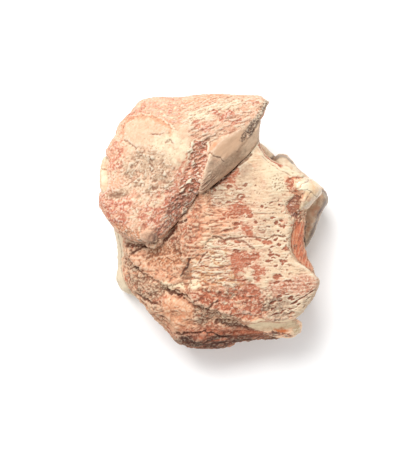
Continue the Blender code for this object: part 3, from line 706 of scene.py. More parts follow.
# The smooth rim under the cheek
rim = {
    "voxel": 0.28, "smoothing": 6, "swell": 0.1,
    # the pale is lifted past its own tone so the shaded flank still shows cream: partly painted light
    "light": (226, 190, 158), "dark": (208, 170, 138), "pale": (250, 220, 188, 1.2), "blush": (224, 166, 134),
    "red": (206, 142, 116), "deepRed": (160, 98, 78), "crust": (194, 166, 140), "deepCrust": (126, 100, 80),
    "rust": (226, 184, 148), "dirt": (82, 56, 42), "shadow": (112, 76, 58), "edge": (250, 224, 194),
    "hollowShadeStrength": 0.75, "ridgeHighlightStrength": 0.45, "speckle": 0.35, "roughness": 0.6, "bump": 0.4,
    "lift": 0.9,
    "broken": [(266, 99), (273, 103), (265, 114), (258, 126), (251, 136), (242, 143), (238, 140), (246, 130),
               (252, 120), (259, 109)],
    "places": {
        "facet": [(208, 150), (212, 141), (238, 134), (250, 130), (250, 142), (223, 160), (210, 154)],
        "crack": [(209, 153), (214, 156), (218, 157), (223, 161)],
        "flank": [(270, 108), (262, 124), (261, 138), (250, 154), (239, 158), (243, 146), (252, 135),
            (261, 118)],
        "hook": [(250, 137), (246, 143), (241, 147), (237, 153)],
        "splinters": [(196, 196), (202, 180), (211, 171), (218, 177), (206, 192)],
        "bevel": [(206, 160), (222, 162), (246, 147), (250, 150), (226, 172), (206, 186)],
    },
}


def dressBrokenEnd(s):
    broken = s.area(rim["broken"], 1.5)
    s.raiseBy(0.6 * broken * s.flakes(0.75, 43))
    s.mark(broken, crust=1)
    s.mark(broken * s.patchy(0.6, 44, -0.5, 0.25, 2), dirt=0.8)


def dressRim(s):
    at = rim["places"]
    s.raiseBy(0.2 * s.noise(3.5, 41, 2) + 0.1 * s.noise(1.1, 40, 2, (3, 1, 1), 40))
    facet = s.area(at["facet"], 2.5)
    s.mark(facet, rust=0.7)
    s.mark(facet * s.patchy(2.4, 42, -0.3, 0.6, 2), pale=0.25)
    near, lot = s.cells(1.3, 42, (1.2, 1))
    s.mark(facet * (1 - soft(near, 0.08, 0.26)) * soft(lot, 0.5, 0.6), red=0.5)
    s.mark(s.patchy(1.6, 39, 0.0, 0.5, 3, (3, 1, 1), 40), crust=0.35)
    s.raiseBy(0.25 * facet)
    s.crack(at["crack"], 1.1, 1.3, 0.3, 0.35)
    dressBrokenEnd(s)
    flank = s.area(at["flank"], 1.2)
    s.wipe(flank, crust=0.6)
    s.mark(flank * s.patchy(1.5, 49, -0.9, 0.0), pale=0.55)
    s.crack(at["hook"], 1.4, 1.0, 0.15, 0.25)
    splinters = s.area(at["splinters"], 3)
    s.raiseBy(0.45 * splinters * s.noise(0.6, 45, 2, (5, 1, 1), 42))
    s.mark(splinters * s.patchy(0.6, 46, 0.0, 0.3, 1, (5, 1, 1), 42), red=0.6)
    bevel = s.area(at["bevel"], 3)
    s.mark(bevel, crust=0.45)
    s.mark(bevel * s.patchy(2.0, 38, -0.2, 0.5), pale=0.2)
    s.mark(s.patchy(2.0, 48, 0.0, 0.5, 2), blush=0.5)
    # faces that do not face up get patches of painted shade
    s.mark((1 - s.up) * s.patchy(1.5, 47, -0.4, 0.5, 2), dirt=0.5)


def makeRim():
    s = Skin("cheek_rim", "cheekRim", rim)
    dressRim(s)
    s.mark(1, gloss=0.1)
    s.finish(fossilFinish("rimBone", rim), "rim_bone")


# The domed block at the upper left
cheek = {
    "voxel": 0.34, "smoothing": 8, "swell": 0.1,
    "light": (252, 222, 188), "dark": (244, 198, 164), "pale": (253, 236, 200), "blush": (242, 168, 134),
    "red": (230, 148, 118), "deepRed": (198, 112, 86), "crust": (238, 206, 172), "deepCrust": (196, 160, 130),
    "rust": (240, 166, 122), "dirt": (104, 68, 54), "shadow": (150, 98, 76), "edge": (255, 246, 224),
    "hollowShadeStrength": 0.7, "ridgeHighlightStrength": 0.6, "speckle": 0.45, "roughness": 0.8, "bump": 0.6,
    "lumps": [(141, 155, 5, 4), (151, 157, 5, 4), (147, 168, 7, 5), (131, 172, 5, 4), (160, 176, 8, 5),
              (136, 184, 7, 4), (168, 184, 6, 4), (152, 190, 7, 4)],
    "places": {
        "seam": [(190, 196), (196, 172), (204, 148), (214, 134), (240, 126), (256, 114), (258, 126),
            (248, 138), (222, 146), (212, 158), (208, 176), (200, 192)],
        "onRim": [(199, 192), (203, 172), (209, 150), (213, 141), (238, 133), (256, 120), (262, 126),
            (250, 150), (222, 176)],
        "clean": [(124, 122), (146, 116), (170, 128), (192, 136), (194, 152), (182, 170), (166, 164),
            (148, 148), (130, 144)],
        "oval": [(124, 134), (126, 123), (134, 118), (147, 118), (160, 122), (169, 129), (165, 134),
            (154, 139), (146, 147), (136, 147), (128, 142)],
        "paleLeft": [(120, 150), (134, 150), (130, 176), (118, 184), (112, 178)],
        "rimLine": [(123, 132), (124, 122), (134, 116.5), (147, 116.5), (160, 121), (170, 128),
            (169, 135)],
        "whiteLine": [(128, 116), (140, 113.5), (150, 115), (164, 120), (174, 128)],
        "crust": [(134, 152), (150, 145), (164, 154), (178, 168), (180, 184), (168, 196), (146, 200),
            (126, 190), (120, 172), (126, 158)],
        "stainedSide": [(96, 200), (108, 150), (122, 116), (130, 118), (124, 156), (130, 196), (160, 200),
            (184, 170), (192, 180), (160, 236), (126, 240), (100, 216)],
        "flushedFoot": [(120, 196), (150, 188), (184, 160), (188, 180), (160, 220), (130, 230)],
        "belly": [(122, 198), (150, 192), (172, 184), (170, 200), (150, 222), (132, 224)],
        "seamLine": [(190, 146), (185, 160), (178, 174), (172, 190), (166, 206), (154, 222)],
        "topLayers": [(122, 114), (146, 98), (178, 98), (184, 116), (176, 126), (150, 113), (130, 116)],
        "rightLayers": [(180, 98), (214, 92), (268, 94), (264, 110), (250, 132), (214, 142), (196, 146),
            (182, 130)],
        "band": [(186, 126), (188, 110), (224, 103), (246, 98), (244, 104), (216, 116), (200, 124)],
        "rustyEdge": [(180, 100), (214, 92), (236, 96), (214, 101), (184, 106)],
        "torn": [(192, 150), (195, 140), (206, 141), (208, 152), (212, 164), (204, 184), (198, 194),
            (178, 196), (183, 176), (188, 162)],
        "lip": [(188, 150), (196, 141), (206, 143), (209, 150)],
        "crevice": [(172, 196), (196, 184), (204, 190), (196, 212), (180, 232), (166, 240),
            (150, 246), (146, 240), (162, 218)],
        "brownFoot": [(112, 222), (124, 226), (140, 230), (141, 244), (122, 240)],
        "whiteChip": [(123, 229), (130, 230), (129, 236), (124, 235)],
        "whiteSliver": [(139.5, 227), (140, 236)],
        "underPebble": [(139, 240), (147, 244), (158, 242), (164, 236)],
        "cracks": [
            [(151, 134.5), (157, 134), (163, 133)],
            [(125, 140), (131, 144), (137, 150)],
            [(166, 142), (170, 140), (173, 143)],
        ],
        "stains": [
            ([(96, 200), (102, 184), (122, 198), (136, 192), (130, 208), (126, 232), (104, 222)], 1.0),
            ([(106, 140), (122, 140), (126, 156), (122, 168), (112, 178), (104, 168), (106, 150)], 0.7),
            ([(118, 126), (124, 112), (136, 106), (134, 116), (124, 122), (120, 140)], 0.6),
            ([(130, 214), (150, 200), (176, 178), (186, 172), (184, 188), (170, 206), (156, 226),
              (140, 234)], 0.7),
        ],
        "redSpots": [(205, 128, 7, 4.5), (228, 116, 9, 4), (196, 122, 5, 3), (236, 122, 7, 3),
            (216, 112, 6, 3)],
    },
}


def makeCheek():
    at = cheek["places"]
    s = Skin("cheek_block", "cheekBlock", cheek, [at["seam"]])
    onRim = s.area(at["onRim"], 1.5)
    s.within = onRim
    dressRim(s)
    s.within = 1 - onRim
    s.raiseBy(0.5 * s.noise(6.0, 51, 2) + 0.16 * s.noise(2.2, 52, 2))
    clean = s.area(at["clean"], 6)
    oval = s.area(at["oval"], 2.2, 0.5)
    s.raiseBy(0.28 * oval)
    s.mark(clean * s.patchy(3, 49, -0.7, 0.3), pale=0.85)
    s.wipe(oval, pale=0.85)
    s.mark(oval, blush=0.2)
    s.mark(clean * s.patchy(1.1, 72, 0.05, 0.45), rust=0.4)
    s.mark(clean * s.patchy(0.9, 78, 0.0, 0.4), crust=0.45)
    s.mark(s.area(at["paleLeft"], 6) * s.patchy(2, 73, -0.3, 0.4), pale=0.7)
    rimLine = s.line(at["rimLine"], 4.6, 1.6)
    s.mark(rimLine, rust=0.55, red=0.35)
    whiteLine = s.line(at["whiteLine"], 1.2, 1.0)
    s.raiseBy(0.16 * whiteLine)
    s.mark(whiteLine, pale=0.6)
    for points in at["cracks"]:
        s.crack(points, 1.3, 1.0, 0.28, 0.3)
    # grainy grey-brown crust over the middle
    crust = s.area(at["crust"], 9)
    grain = s.flakes(1.5, 54, (1.2, 1, 1), 20)
    s.raiseBy(crust * (0.42 * grain + 0.5 * s.noise(2.6, 50, 2) + 0.2 * s.noise(0.9, 53, 3)))
    s.mark(crust * s.patchy(1.6, 55, -0.4, 0.4), crust=0.75)
    s.mark(crust * s.patchy(1.2, 44, 0.15, 0.5), dirt=0.15)
    s.wipe(crust, pale=0.6)
    for u, v, across, down in cheek["lumps"]:
        lump = s.spot(u, v, across, down, 20, 0.7)
        s.raiseBy(0.35 * lump * grain)
        s.mark(lump, crust=0.7)
        s.mark(lump * soft(grain, -0.1, -0.4), dirt=0.5)
    # red stain round the left side and the foot of the dome
    bump = s.spot(115, 184, 10, 6, 35, 0.6)
    around = s.area(at["stainedSide"], 6)
    s.raiseBy(around * (0.4 * s.flakes(1.6, 36, (1.3, 1, 1), 30) + 0.2 * s.noise(0.9, 37, 2)))
    for outline, amount in at["stains"]:
        stain = s.area(outline, 5)
        s.mark(amount * stain, blush=1.1)
        s.mark(amount * stain * s.patchy(1.6, 56, -0.35, 0.3), red=1.0)
    s.mark(s.area(at["flushedFoot"], 6), blush=0.55)
    s.mark(around * s.patchy(1.6, 38, 0.0, 0.45) * (1 - bump), pale=0.5)
    belly = s.area(at["belly"], 7)
    s.mark(belly * s.patchy(2.4, 74, -0.4, 0.4), pale=0.6)
    seamLine = s.line(at["seamLine"], 3.0, 1.6)
    s.mark(seamLine * s.patchy(1.4, 75, -0.5, 0.2, 2), red=0.7)
    s.raiseBy(0.9 * bump)
    s.mark(bump, blush=0.8, rust=0.3)
    hollow = s.spot(117, 195, 11, 4, 12, 0.6)
    s.raiseBy(-0.9 * hollow)
    s.mark(hollow, crust=0.9, dirt=0.4)
    # thin white and pink layers along the top
    top = s.area(at["topLayers"], 5)
    layers = s.noise(0.8, 57, 3, (2.6, 1, 1), -4)
    s.raiseBy(0.45 * top * layers)
    s.mark(top, blush=0.8)
    s.mark(top * soft(layers, -0.05, 0.3), red=0.85)
    s.mark(top * soft(layers, -0.05, -0.3), pale=0.9)
    s.mark(s.spot(176, 120, 4, 3, 30, 0.6, 2.0), dirt=0.3)
    right = s.area(at["rightLayers"], 5)
    layers = s.noise(1.0, 58, 3, (4.0, 1, 1), 20)
    steps = terraces((layers + 0.4 * s.noise(4, 59)) * 2.0, 0.5) / 2.0
    s.raiseBy(0.55 * right * steps + 0.25 * right * s.flakes(1.1, 35, (2.4, 1, 1), 20))
    s.mark(right * s.patchy(1.8, 60, -0.3, 0.4, 3, (2.6, 1, 1), 20), blush=0.75)
    s.mark(right * s.patchy(1.2, 47, 0.1, 0.4, 3, (2.6, 1, 1), 20), red=0.6)
    s.mark(right * s.patchy(1.2, 46, 0.2, 0.5, 2, (2.6, 1, 1), 20), crust=0.4)
    band = s.area(at["band"], 4)
    s.mark(band, pale=0.55)
    s.wipe(band, red=0.8, blush=0.6)
    s.mark(s.area(at["rustyEdge"], 3), rust=0.5)
    for u, v, across, down in at["redSpots"]:
        s.mark(s.spot(u, v, across, down, 15, 0.7, 2.0), red=0.7)
    # splintered plates, slanting up to the right, beside the rim
    torn = s.area(at["torn"], 2.5)
    plates = s.flakes(1.9, 61, (2.0, 1, 1), 26, 0.8)
    s.raiseBy(torn * (1.7 * plates + 0.6 * s.flakes(0.95, 34, (1.6, 1, 1), 26)))
    s.mark(torn, blush=1)
    s.mark(torn * s.patchy(1.2, 62, -0.3, 0.25, 2, (2.5, 1, 1), 26), red=0.85)
    # the raised plates are paler and the ground between them darker: partly painted highlight and painted
    # shade
    s.mark(torn * soft(plates, 0.1, 0.35), pale=0.9)
    s.mark(torn * (1 - soft(plates, -0.5, -0.3)), dirt=0.3)
    lip = s.line(at["lip"], 2.6, 1.4)
    s.mark(lip, pale=0.8)
    s.raiseBy(0.4 * lip)
    # the crevice at the foot of the dome, darkened between its shards and in blotches with painted shade
    crevice = s.area(at["crevice"], 4)
    shards = s.flakes(2.2, 63, (2.0, 1, 1), 36, 0.9)
    s.raiseBy(crevice * (1.4 * shards + 0.7 * s.flakes(1.0, 33, (1.8, 1, 1), 36)))
    s.mark(crevice, blush=0.9)
    s.mark(crevice * soft(shards, -0.05, 0.25), crust=0.75)
    s.mark(crevice * soft(shards, -0.2, -0.45), dirt=0.6)
    s.mark(crevice * s.patchy(1.2, 32, -0.4, 0.2, 2), red=0.8)
    s.mark(crevice * s.patchy(0.9, 65, -0.6, 0.3, 3, (2.0, 1, 1), 40), dirt=0.76)
    dressBrokenEnd(s)
    # the sides, with their beds and broken lumps, and the dark foot at the lower left
    side = 1 - s.up
    deep = soft(s.z, 38, 34)
    s.raiseBy(side * deep * (0.9 * s.flakes(4.0, 30, (1.6, 1.6, 0.8)) + 0.9 * beds(s, 4.4, 67)))
    s.raiseBy(side * 0.4 * s.flakes(1.7, 45, (1.3, 1.3, 0.8)))
    s.mark(side, blush=0.9)
    s.mark(side * s.patchy(2.2, 68, -0.2, 0.3, 3, (2, 2, 0.5)), red=0.7)
    s.mark(side * s.patchy(2.6, 69, 0.0, 0.5), crust=0.6)
    s.mark(s.up * s.patchy(2.4, 70, -0.1, 0.5) * (1 - 0.8 * clean), blush=0.5)
    s.raiseBy(0.2 * s.noise(0.9, 71, 3) * (1 - 0.35 * clean))
    shaded = side * soft(s.v, 214, 222) * soft(s.z, 28, 32)
    s.wipe(shaded, crust=0.8)
    s.mark(shaded, rust=0.6)
    s.mark(shaded * s.patchy(1.2, 76, -0.3, 0.3), dirt=0.4)
    brownFoot = s.area(at["brownFoot"], 2.5)
    s.raiseBy(0.7 * brownFoot * s.flakes(1.1, 79, (1.6, 1, 1)))
    s.wipe(brownFoot, crust=0.7)
    s.mark(brownFoot, rust=0.8)
    s.mark(brownFoot * s.patchy(1.0, 77, -0.4, 0.3), dirt=0.45)
    s.mark(s.area(at["whiteChip"], 1.0), pale=1)
    s.mark(s.line(at["whiteSliver"], 1.6), pale=0.9)
    pebble = s.spot(149, 236, 8.5, 5.5, -8, 0.3, 0.4)
    s.lift = s.lift * (1 - 0.8 * pebble)
    s.raiseBy(1.0 * pebble)
    s.wipe(pebble, red=0.8, pale=0.8, rust=0.8)
    s.mark(pebble, blush=0.7, crust=0.5, dirt=0.36)
    # a painted shadow under the pebble
    s.mark(s.line(at["underPebble"], 2.0), dirt=0.8)
    s.calm = np.maximum(0.35 * crevice, 0.8 * pebble)
    s.within = 1.0
    s.finish(fossilFinish("stainedBone", cheek), "stained_bone")


# The cream chip in the left edge
chip = {
    "voxel": 0.25, "smoothing": 4, "swell": 0.15,
    "light": (250, 222, 184), "dark": (232, 196, 160), "pale": (252, 236, 200), "blush": (236, 174, 138),
    "red": (226, 152, 120), "deepRed": (196, 118, 90), "crust": (216, 188, 156), "deepCrust": (180, 152, 124),
    "rust": (232, 164, 118), "dirt": (112, 76, 58), "shadow": (148, 100, 76), "edge": (255, 244, 218),
    "hollowShadeStrength": 0.6, "ridgeHighlightStrength": 0.4, "speckle": 0.3, "roughness": 0.65, "bump": 0.3,
    "places": {
        "crack": [(100, 168), (110, 170)],
    },
}


def makeChip():
    at = chip["places"]
    s = Skin("left_chip", "leftChip", chip)
    s.raiseBy(0.3 * s.noise(1.6, 81, 2))
    s.mark(s.spot(108, 156, 5, 8, 0, 0.6), crust=0.7)
    s.mark(s.spot(104, 177, 4, 7, 10, 0.6), pale=0.8)
    s.mark(s.patchy(1.5, 82, -0.1, 0.4, 2), blush=0.6)
    s.mark(s.patchy(1.8, 83, 0.0, 0.5) * soft(s.z, 36, 33), crust=0.8)
    edges = soft(np.abs(s.v - 175 + 5 * s.noise(2.2, 85, 2)), 9, 15)
    edges = np.clip(edges + soft(s.z + 2.5 * s.noise(2.2, 86, 2), 34, 30), 0, 1)
    s.mark(edges * soft(s.z, 38, 36), blush=1)
    s.mark(edges * s.patchy(1.1, 87, -0.5, 0.2) * soft(s.z, 38, 36), red=0.85)
    s.raiseBy(0.3 * s.flakes(1.4, 84) * soft(s.z, 36, 33))
    crack = s.line(at["crack"], 1.4, 0.8)
    s.raiseBy(-0.3 * crack)
    s.mark(crack, rust=0.7)
    s.finish(fossilFinish("chipBone", chip), "chip_bone")


# The bar of bone along the lower edge
border = {
    "voxel": 0.28, "smoothing": 6, "swell": 0.15,
    "light": (255, 216, 180), "dark": (250, 198, 160), "pale": (255, 228, 192), "blush": (244, 176, 140),
    "red": (222, 148, 112), "deepRed": (184, 104, 72), "crust": (216, 190, 154), "deepCrust": (174, 144, 110),
    "rust": (214, 122, 70), "dirt": (80, 52, 42), "shadow": (134, 90, 68), "edge": (255, 244, 214),
    "hollowShadeStrength": 0.4, "ridgeHighlightStrength": 0.5, "speckle": 0.25, "roughness": 0.62, "bump": 0.5,
    # the bar's colours are lifted past their own tone to make up for the plate's shadow on it: painted light
    "lift": 1.25,
    "places": {
        "topFaceHighlight": [(250, 323), (258, 319), (292, 319), (296, 327), (250, 328)],
        "under": [(246, 331), (258, 332), (272, 334), (286, 334), (294, 338)],
    },
}


def dressBar(s):
    at = border["places"]
    s.raiseBy(0.22 * s.noise(1.1, 101, 3, (3, 1, 1)))
    # a painted highlight on the top face
    s.mark(s.area(at["topFaceHighlight"], 3), pale=0.6)
    s.mark(s.patchy(1.6, 103, -0.1, 0.5, 3, (2.5, 1, 1)), rust=0.3)
    s.mark(s.spot(297, 331, 5, 6, 0, 0.5), crust=0.9)
    s.mark(s.spot(281, 330.5, 7, 2.6, 0, 0.6), rust=1)
    s.mark(s.patchy(1.5, 102, 0.0, 0.5, 2), blush=0.5)
    s.raiseBy(0.4 * s.flakes(1.2, 104, (2, 1, 1), 4))
    # painted shade along the underside
    under = s.line(at["under"], 3.4, 1.2)
    s.mark(under, red=0.7)
    s.mark(under * s.patchy(1.0, 106, -0.7, 0.2), dirt=0.8)
    # low faces turned down the chart get patches of painted shade
    s.mark(soft(-s.normals[:, 1], 0.6, 0.95) * soft(s.z, 26, 22) * s.patchy(1.2, 105, -0.4, 0.3), dirt=0.5)


def makeBorder():
    s = Skin("lower_border", "lowerBorder", border)
    dressBar(s)
    s.mark(s.spot(297, 331, 5, 6, 0, 0.5), gloss=0.3)
    s.finish(fossilFinish("borderBone", border), "border_bone")


# The far branch underneath
farBranch = {
    "voxel": 0.5, "smoothing": 6, "swell": 0.1,
    "light": (236, 212, 180), "dark": (218, 188, 152), "pale": (246, 228, 196), "blush": (214, 158, 124),
    "red": (200, 136, 102), "deepRed": (154, 98, 72), "crust": (200, 160, 122), "deepCrust": (166, 124, 90),
    "rust": (200, 134, 90), "dirt": (92, 58, 42), "shadow": (118, 84, 62), "edge": (248, 228, 196),
    "hollowShadeStrength": 0.5, "ridgeHighlightStrength": 0.35, "speckle": 0.3, "roughness": 0.55, "bump": 0.25,
    "places": {
        "tanStrip": [(310, 206), (322, 194), (325, 200), (320, 210), (312, 226), (306, 238),
            (306, 220)],
        "paleLip": [(280, 160), (290, 164), (298, 172)],
        "shadedLip": [(271, 159), (280, 155), (288, 157), (294, 163)],
        "crack": [(113, 224), (118, 236), (121, 250), (121, 266), (124, 280), (130, 291)],
        "shadedEdges": [
            ([(321, 187), (327, 196), (327, 203), (322, 212), (318, 222), (313, 236), (305, 250)], 5.0),
            ([(304, 216), (305, 224), (303, 236), (304, 248)], 2.4),
        ],
    },
}


def makeFarBranch():
    at = farBranch["places"]
    s = Skin("far_ramus", "farRamus", farBranch)
    ground = soft(s.z, 0.6, 2.5)  # the flats it rests on stay as they are
    s.raiseBy(0.35 * s.noise(5.0, 111, 2) * ground)
    knob = soft(s.x, 22, 27) * soft(s.z, 6, 10)
    s.raiseBy(0.16 * s.noise(1.0, 112, 2, (5, 1.2, 1), 15) * ground * (1 - knob))
    tanStrip = s.area(at["tanStrip"], 2.5)
    s.mark(tanStrip, crust=0.8)
    s.mark(tanStrip * s.patchy(1.6, 114, -0.2, 0.4, 2, (1, 3, 1), 20), rust=0.6)
    s.mark(knob * s.patchy(2.0, 116, -0.4, 0.4), rust=0.5)
    s.mark(knob * (1 - tanStrip) * s.patchy(1.6, 113, -0.7, 0.5, 4) * soft(s.v, 186, 192), dirt=0.55)
    s.mark(knob * s.patchy(2.5, 110, -0.1, 0.5), crust=0.5)
    for points, width in at["shadedEdges"]:
        s.mark(s.line(points, width, 0.8) * s.patchy(1.6, 109, -0.9, 0.0), dirt=0.9)
    s.mark(s.line(at["paleLip"], 4, 0.6), pale=0.8)
    # painted shade along the knob's upper edge
    s.mark(s.line(at["shadedLip"], 3.6, 0.6), dirt=0.85)
    crack = s.line(at["crack"], 1.2, 0.8)
    s.raiseBy(-0.3 * crack * ground)
    s.mark(crack, dirt=0.4)
    s.mark((1 - knob) * s.patchy(4.0, 115, 0.05, 0.4) * soft(s.x, -34, -28), red=0.5)
    s.mark((1 - knob) * s.patchy(3.0, 117, -0.1, 0.5) * soft(s.x, -36, -30), blush=0.4)
    s.mark((1 - knob) * soft(s.x, -26, -32), pale=0.6)
    flank = (1 - s.up) * ground
    s.raiseBy(flank * (0.35 * s.noise(1.4, 120, 3, (1, 1, 0.5)) + 0.5 * s.flakes(3.2, 121, (1.6, 1.6, 0.9))))
    s.mark(flank * s.patchy(3.4, 123, 0.0, 0.5), rust=0.5)
    s.mark(flank * s.patchy(1.5, 124, 0.15, 0.5), dirt=0.35)
    besideMud = flank * soft(s.z + 2.2 * s.noise(3, 125, 2), 8, 12) * (1 - knob)
    s.mark(besideMud, red=0.75)
    s.mark(knob, gloss=0.25)
    s.finish(fossilFinish("farBone", farBranch), "far_bone")


# The hardened mud between and around the bones
mud = {
    "voxel": 0.40, "smoothing": 6, "swell": 0.2,
    # the pale is lifted past its own tone, so pale patches read near white and the shaded bar lighter: partly
    # painted highlight
    "light": (248, 198, 160), "dark": (232, 168, 130), "pale": (255, 228, 190, 1.25),
    "blush": (242, 168, 130), "red": (230, 146, 108), "deepRed": (188, 100, 72),
    "crust": (220, 176, 142), "deepCrust": (160, 116, 90), "rust": (228, 146, 98),
    "dirt": (80, 50, 40), "shadow": (124, 76, 58), "edge": (255, 230, 198),
    "hollowShadeStrength": 0.68, "ridgeHighlightStrength": 0.6, "speckle": 0.5, "roughness": 0.88, "bump": 0.9,
    # the cracks along the dome's foot and under the pink flake's lower edge also stand for the shade there:
    # painted shade
    "cracks": [([(126, 257), (132, 264), (141, 272)], 1.8),
               ([(174, 228), (166, 238), (156, 245), (142, 246), (126, 245)], 3.4),
               ([(130, 254), (138, 250), (147, 246)], 2.2),
               ([(167, 290), (177, 293), (188, 298)], 2.4), ([(138, 295), (150, 302), (160, 303)], 1.8),
               ([(206, 310), (214, 304), (222, 298)], 1.6),
               ([(172, 224), (180, 222), (186, 219)], 1.6), ([(216, 322), (236, 326), (250, 328)], 3.4),
               ([(176, 334), (200, 332), (226, 337)], 1.6)],
    "places": {
        "lowerSeam": [(176, 240), (204, 240), (210, 262), (206, 280), (236, 286), (250, 300),
            (272, 308), (268, 326), (222, 318), (180, 296)],
        "leftSeam": [(198, 190), (210, 188), (214, 206), (246, 212), (246, 232), (212, 240),
            (202, 236), (196, 206)],
        "joint": [(278, 176), (300, 172), (306, 184), (304, 216), (310, 224), (300, 230), (282, 226),
            (280, 206)],
        "barSeam": [(244, 316), (296, 316), (300, 330), (262, 336), (244, 332)],
        "onPlate": [(200, 190), (216, 186), (250, 206), (250, 250), (262, 300), (250, 306),
            (228, 300), (200, 292), (180, 284), (184, 264), (192, 246), (198, 240), (206, 232),
            (200, 222), (204, 210)],
        "onBar": [(246, 326), (254, 321), (262, 318.5), (298, 319), (298, 340), (262, 332), (250, 330)],
        "fibres": [(284, 222), (308, 222), (308, 240), (314, 262), (322, 280), (300, 282), (290, 262),
            (284, 240)],
        "paleThread": [(288, 232), (290, 242), (292, 254)],
        "shortThread": [(307, 226), (309, 242), (314, 262)],
        "brownThread": [(285, 228), (286.5, 238), (288, 250)],
        "pocket": [(284, 200), (291, 195), (300, 196), (302, 206), (299, 218), (291, 217), (285, 208)],
        "collar": [(300, 175), (291, 177), (286, 184), (287, 194)],
        "flakes": [(284, 212), (292, 218), (304, 209), (311, 210), (304, 224), (286, 226)],
        "lap": [(176, 212), (200, 192), (210, 206), (206, 232), (196, 244), (190, 262), (176, 258),
            (166, 240)],
        "pink": [(126, 252), (150, 258), (178, 252), (190, 262), (184, 282), (164, 288), (140, 274),
            (128, 262)],
        "pinkFlake": [(129, 256), (150, 258), (178, 252), (190, 262), (184, 280), (168, 286),
            (150, 276), (134, 264)],
        "brown": [(146, 250), (168, 241), (188, 248), (184, 262), (164, 266), (148, 260)],
        "greyChip": [(189, 262), (194, 265), (193, 277), (183, 279)],
        "besideChip": [(190, 259), (186, 267), (181, 276)],
        "ledge": [(120, 232), (150, 244), (146, 252), (128, 256), (118, 248)],
        "tanPatch": [(160, 302), (180, 298), (196, 306), (192, 324), (178, 333), (164, 324)],
        "crustyLap": [(140, 300), (158, 300), (168, 312), (164, 322), (150, 314)],
        "redBand": [(184, 290), (206, 294), (236, 306), (256, 314), (250, 322), (226, 314), (196, 302)],
        "chipSpot": [(221, 311), (231, 310), (230, 316), (222, 317)],
        "creamChips": [
            [(162, 281), (172, 284), (184, 281), (185, 288), (172, 290), (161, 287)],
            [(187, 281), (197, 279), (201, 287), (190, 291)],
        ],
        "patches": [
            ([(124, 260), (134, 262), (150, 278), (168, 288), (160, 299), (140, 297), (128, 282)], 135),
            ([(192, 300), (206, 298), (222, 304), (214, 318), (202, 326), (192, 318)], 137),
            ([(216, 312), (238, 310), (244, 318), (236, 326), (218, 324)], 141),
        ],
    },
}


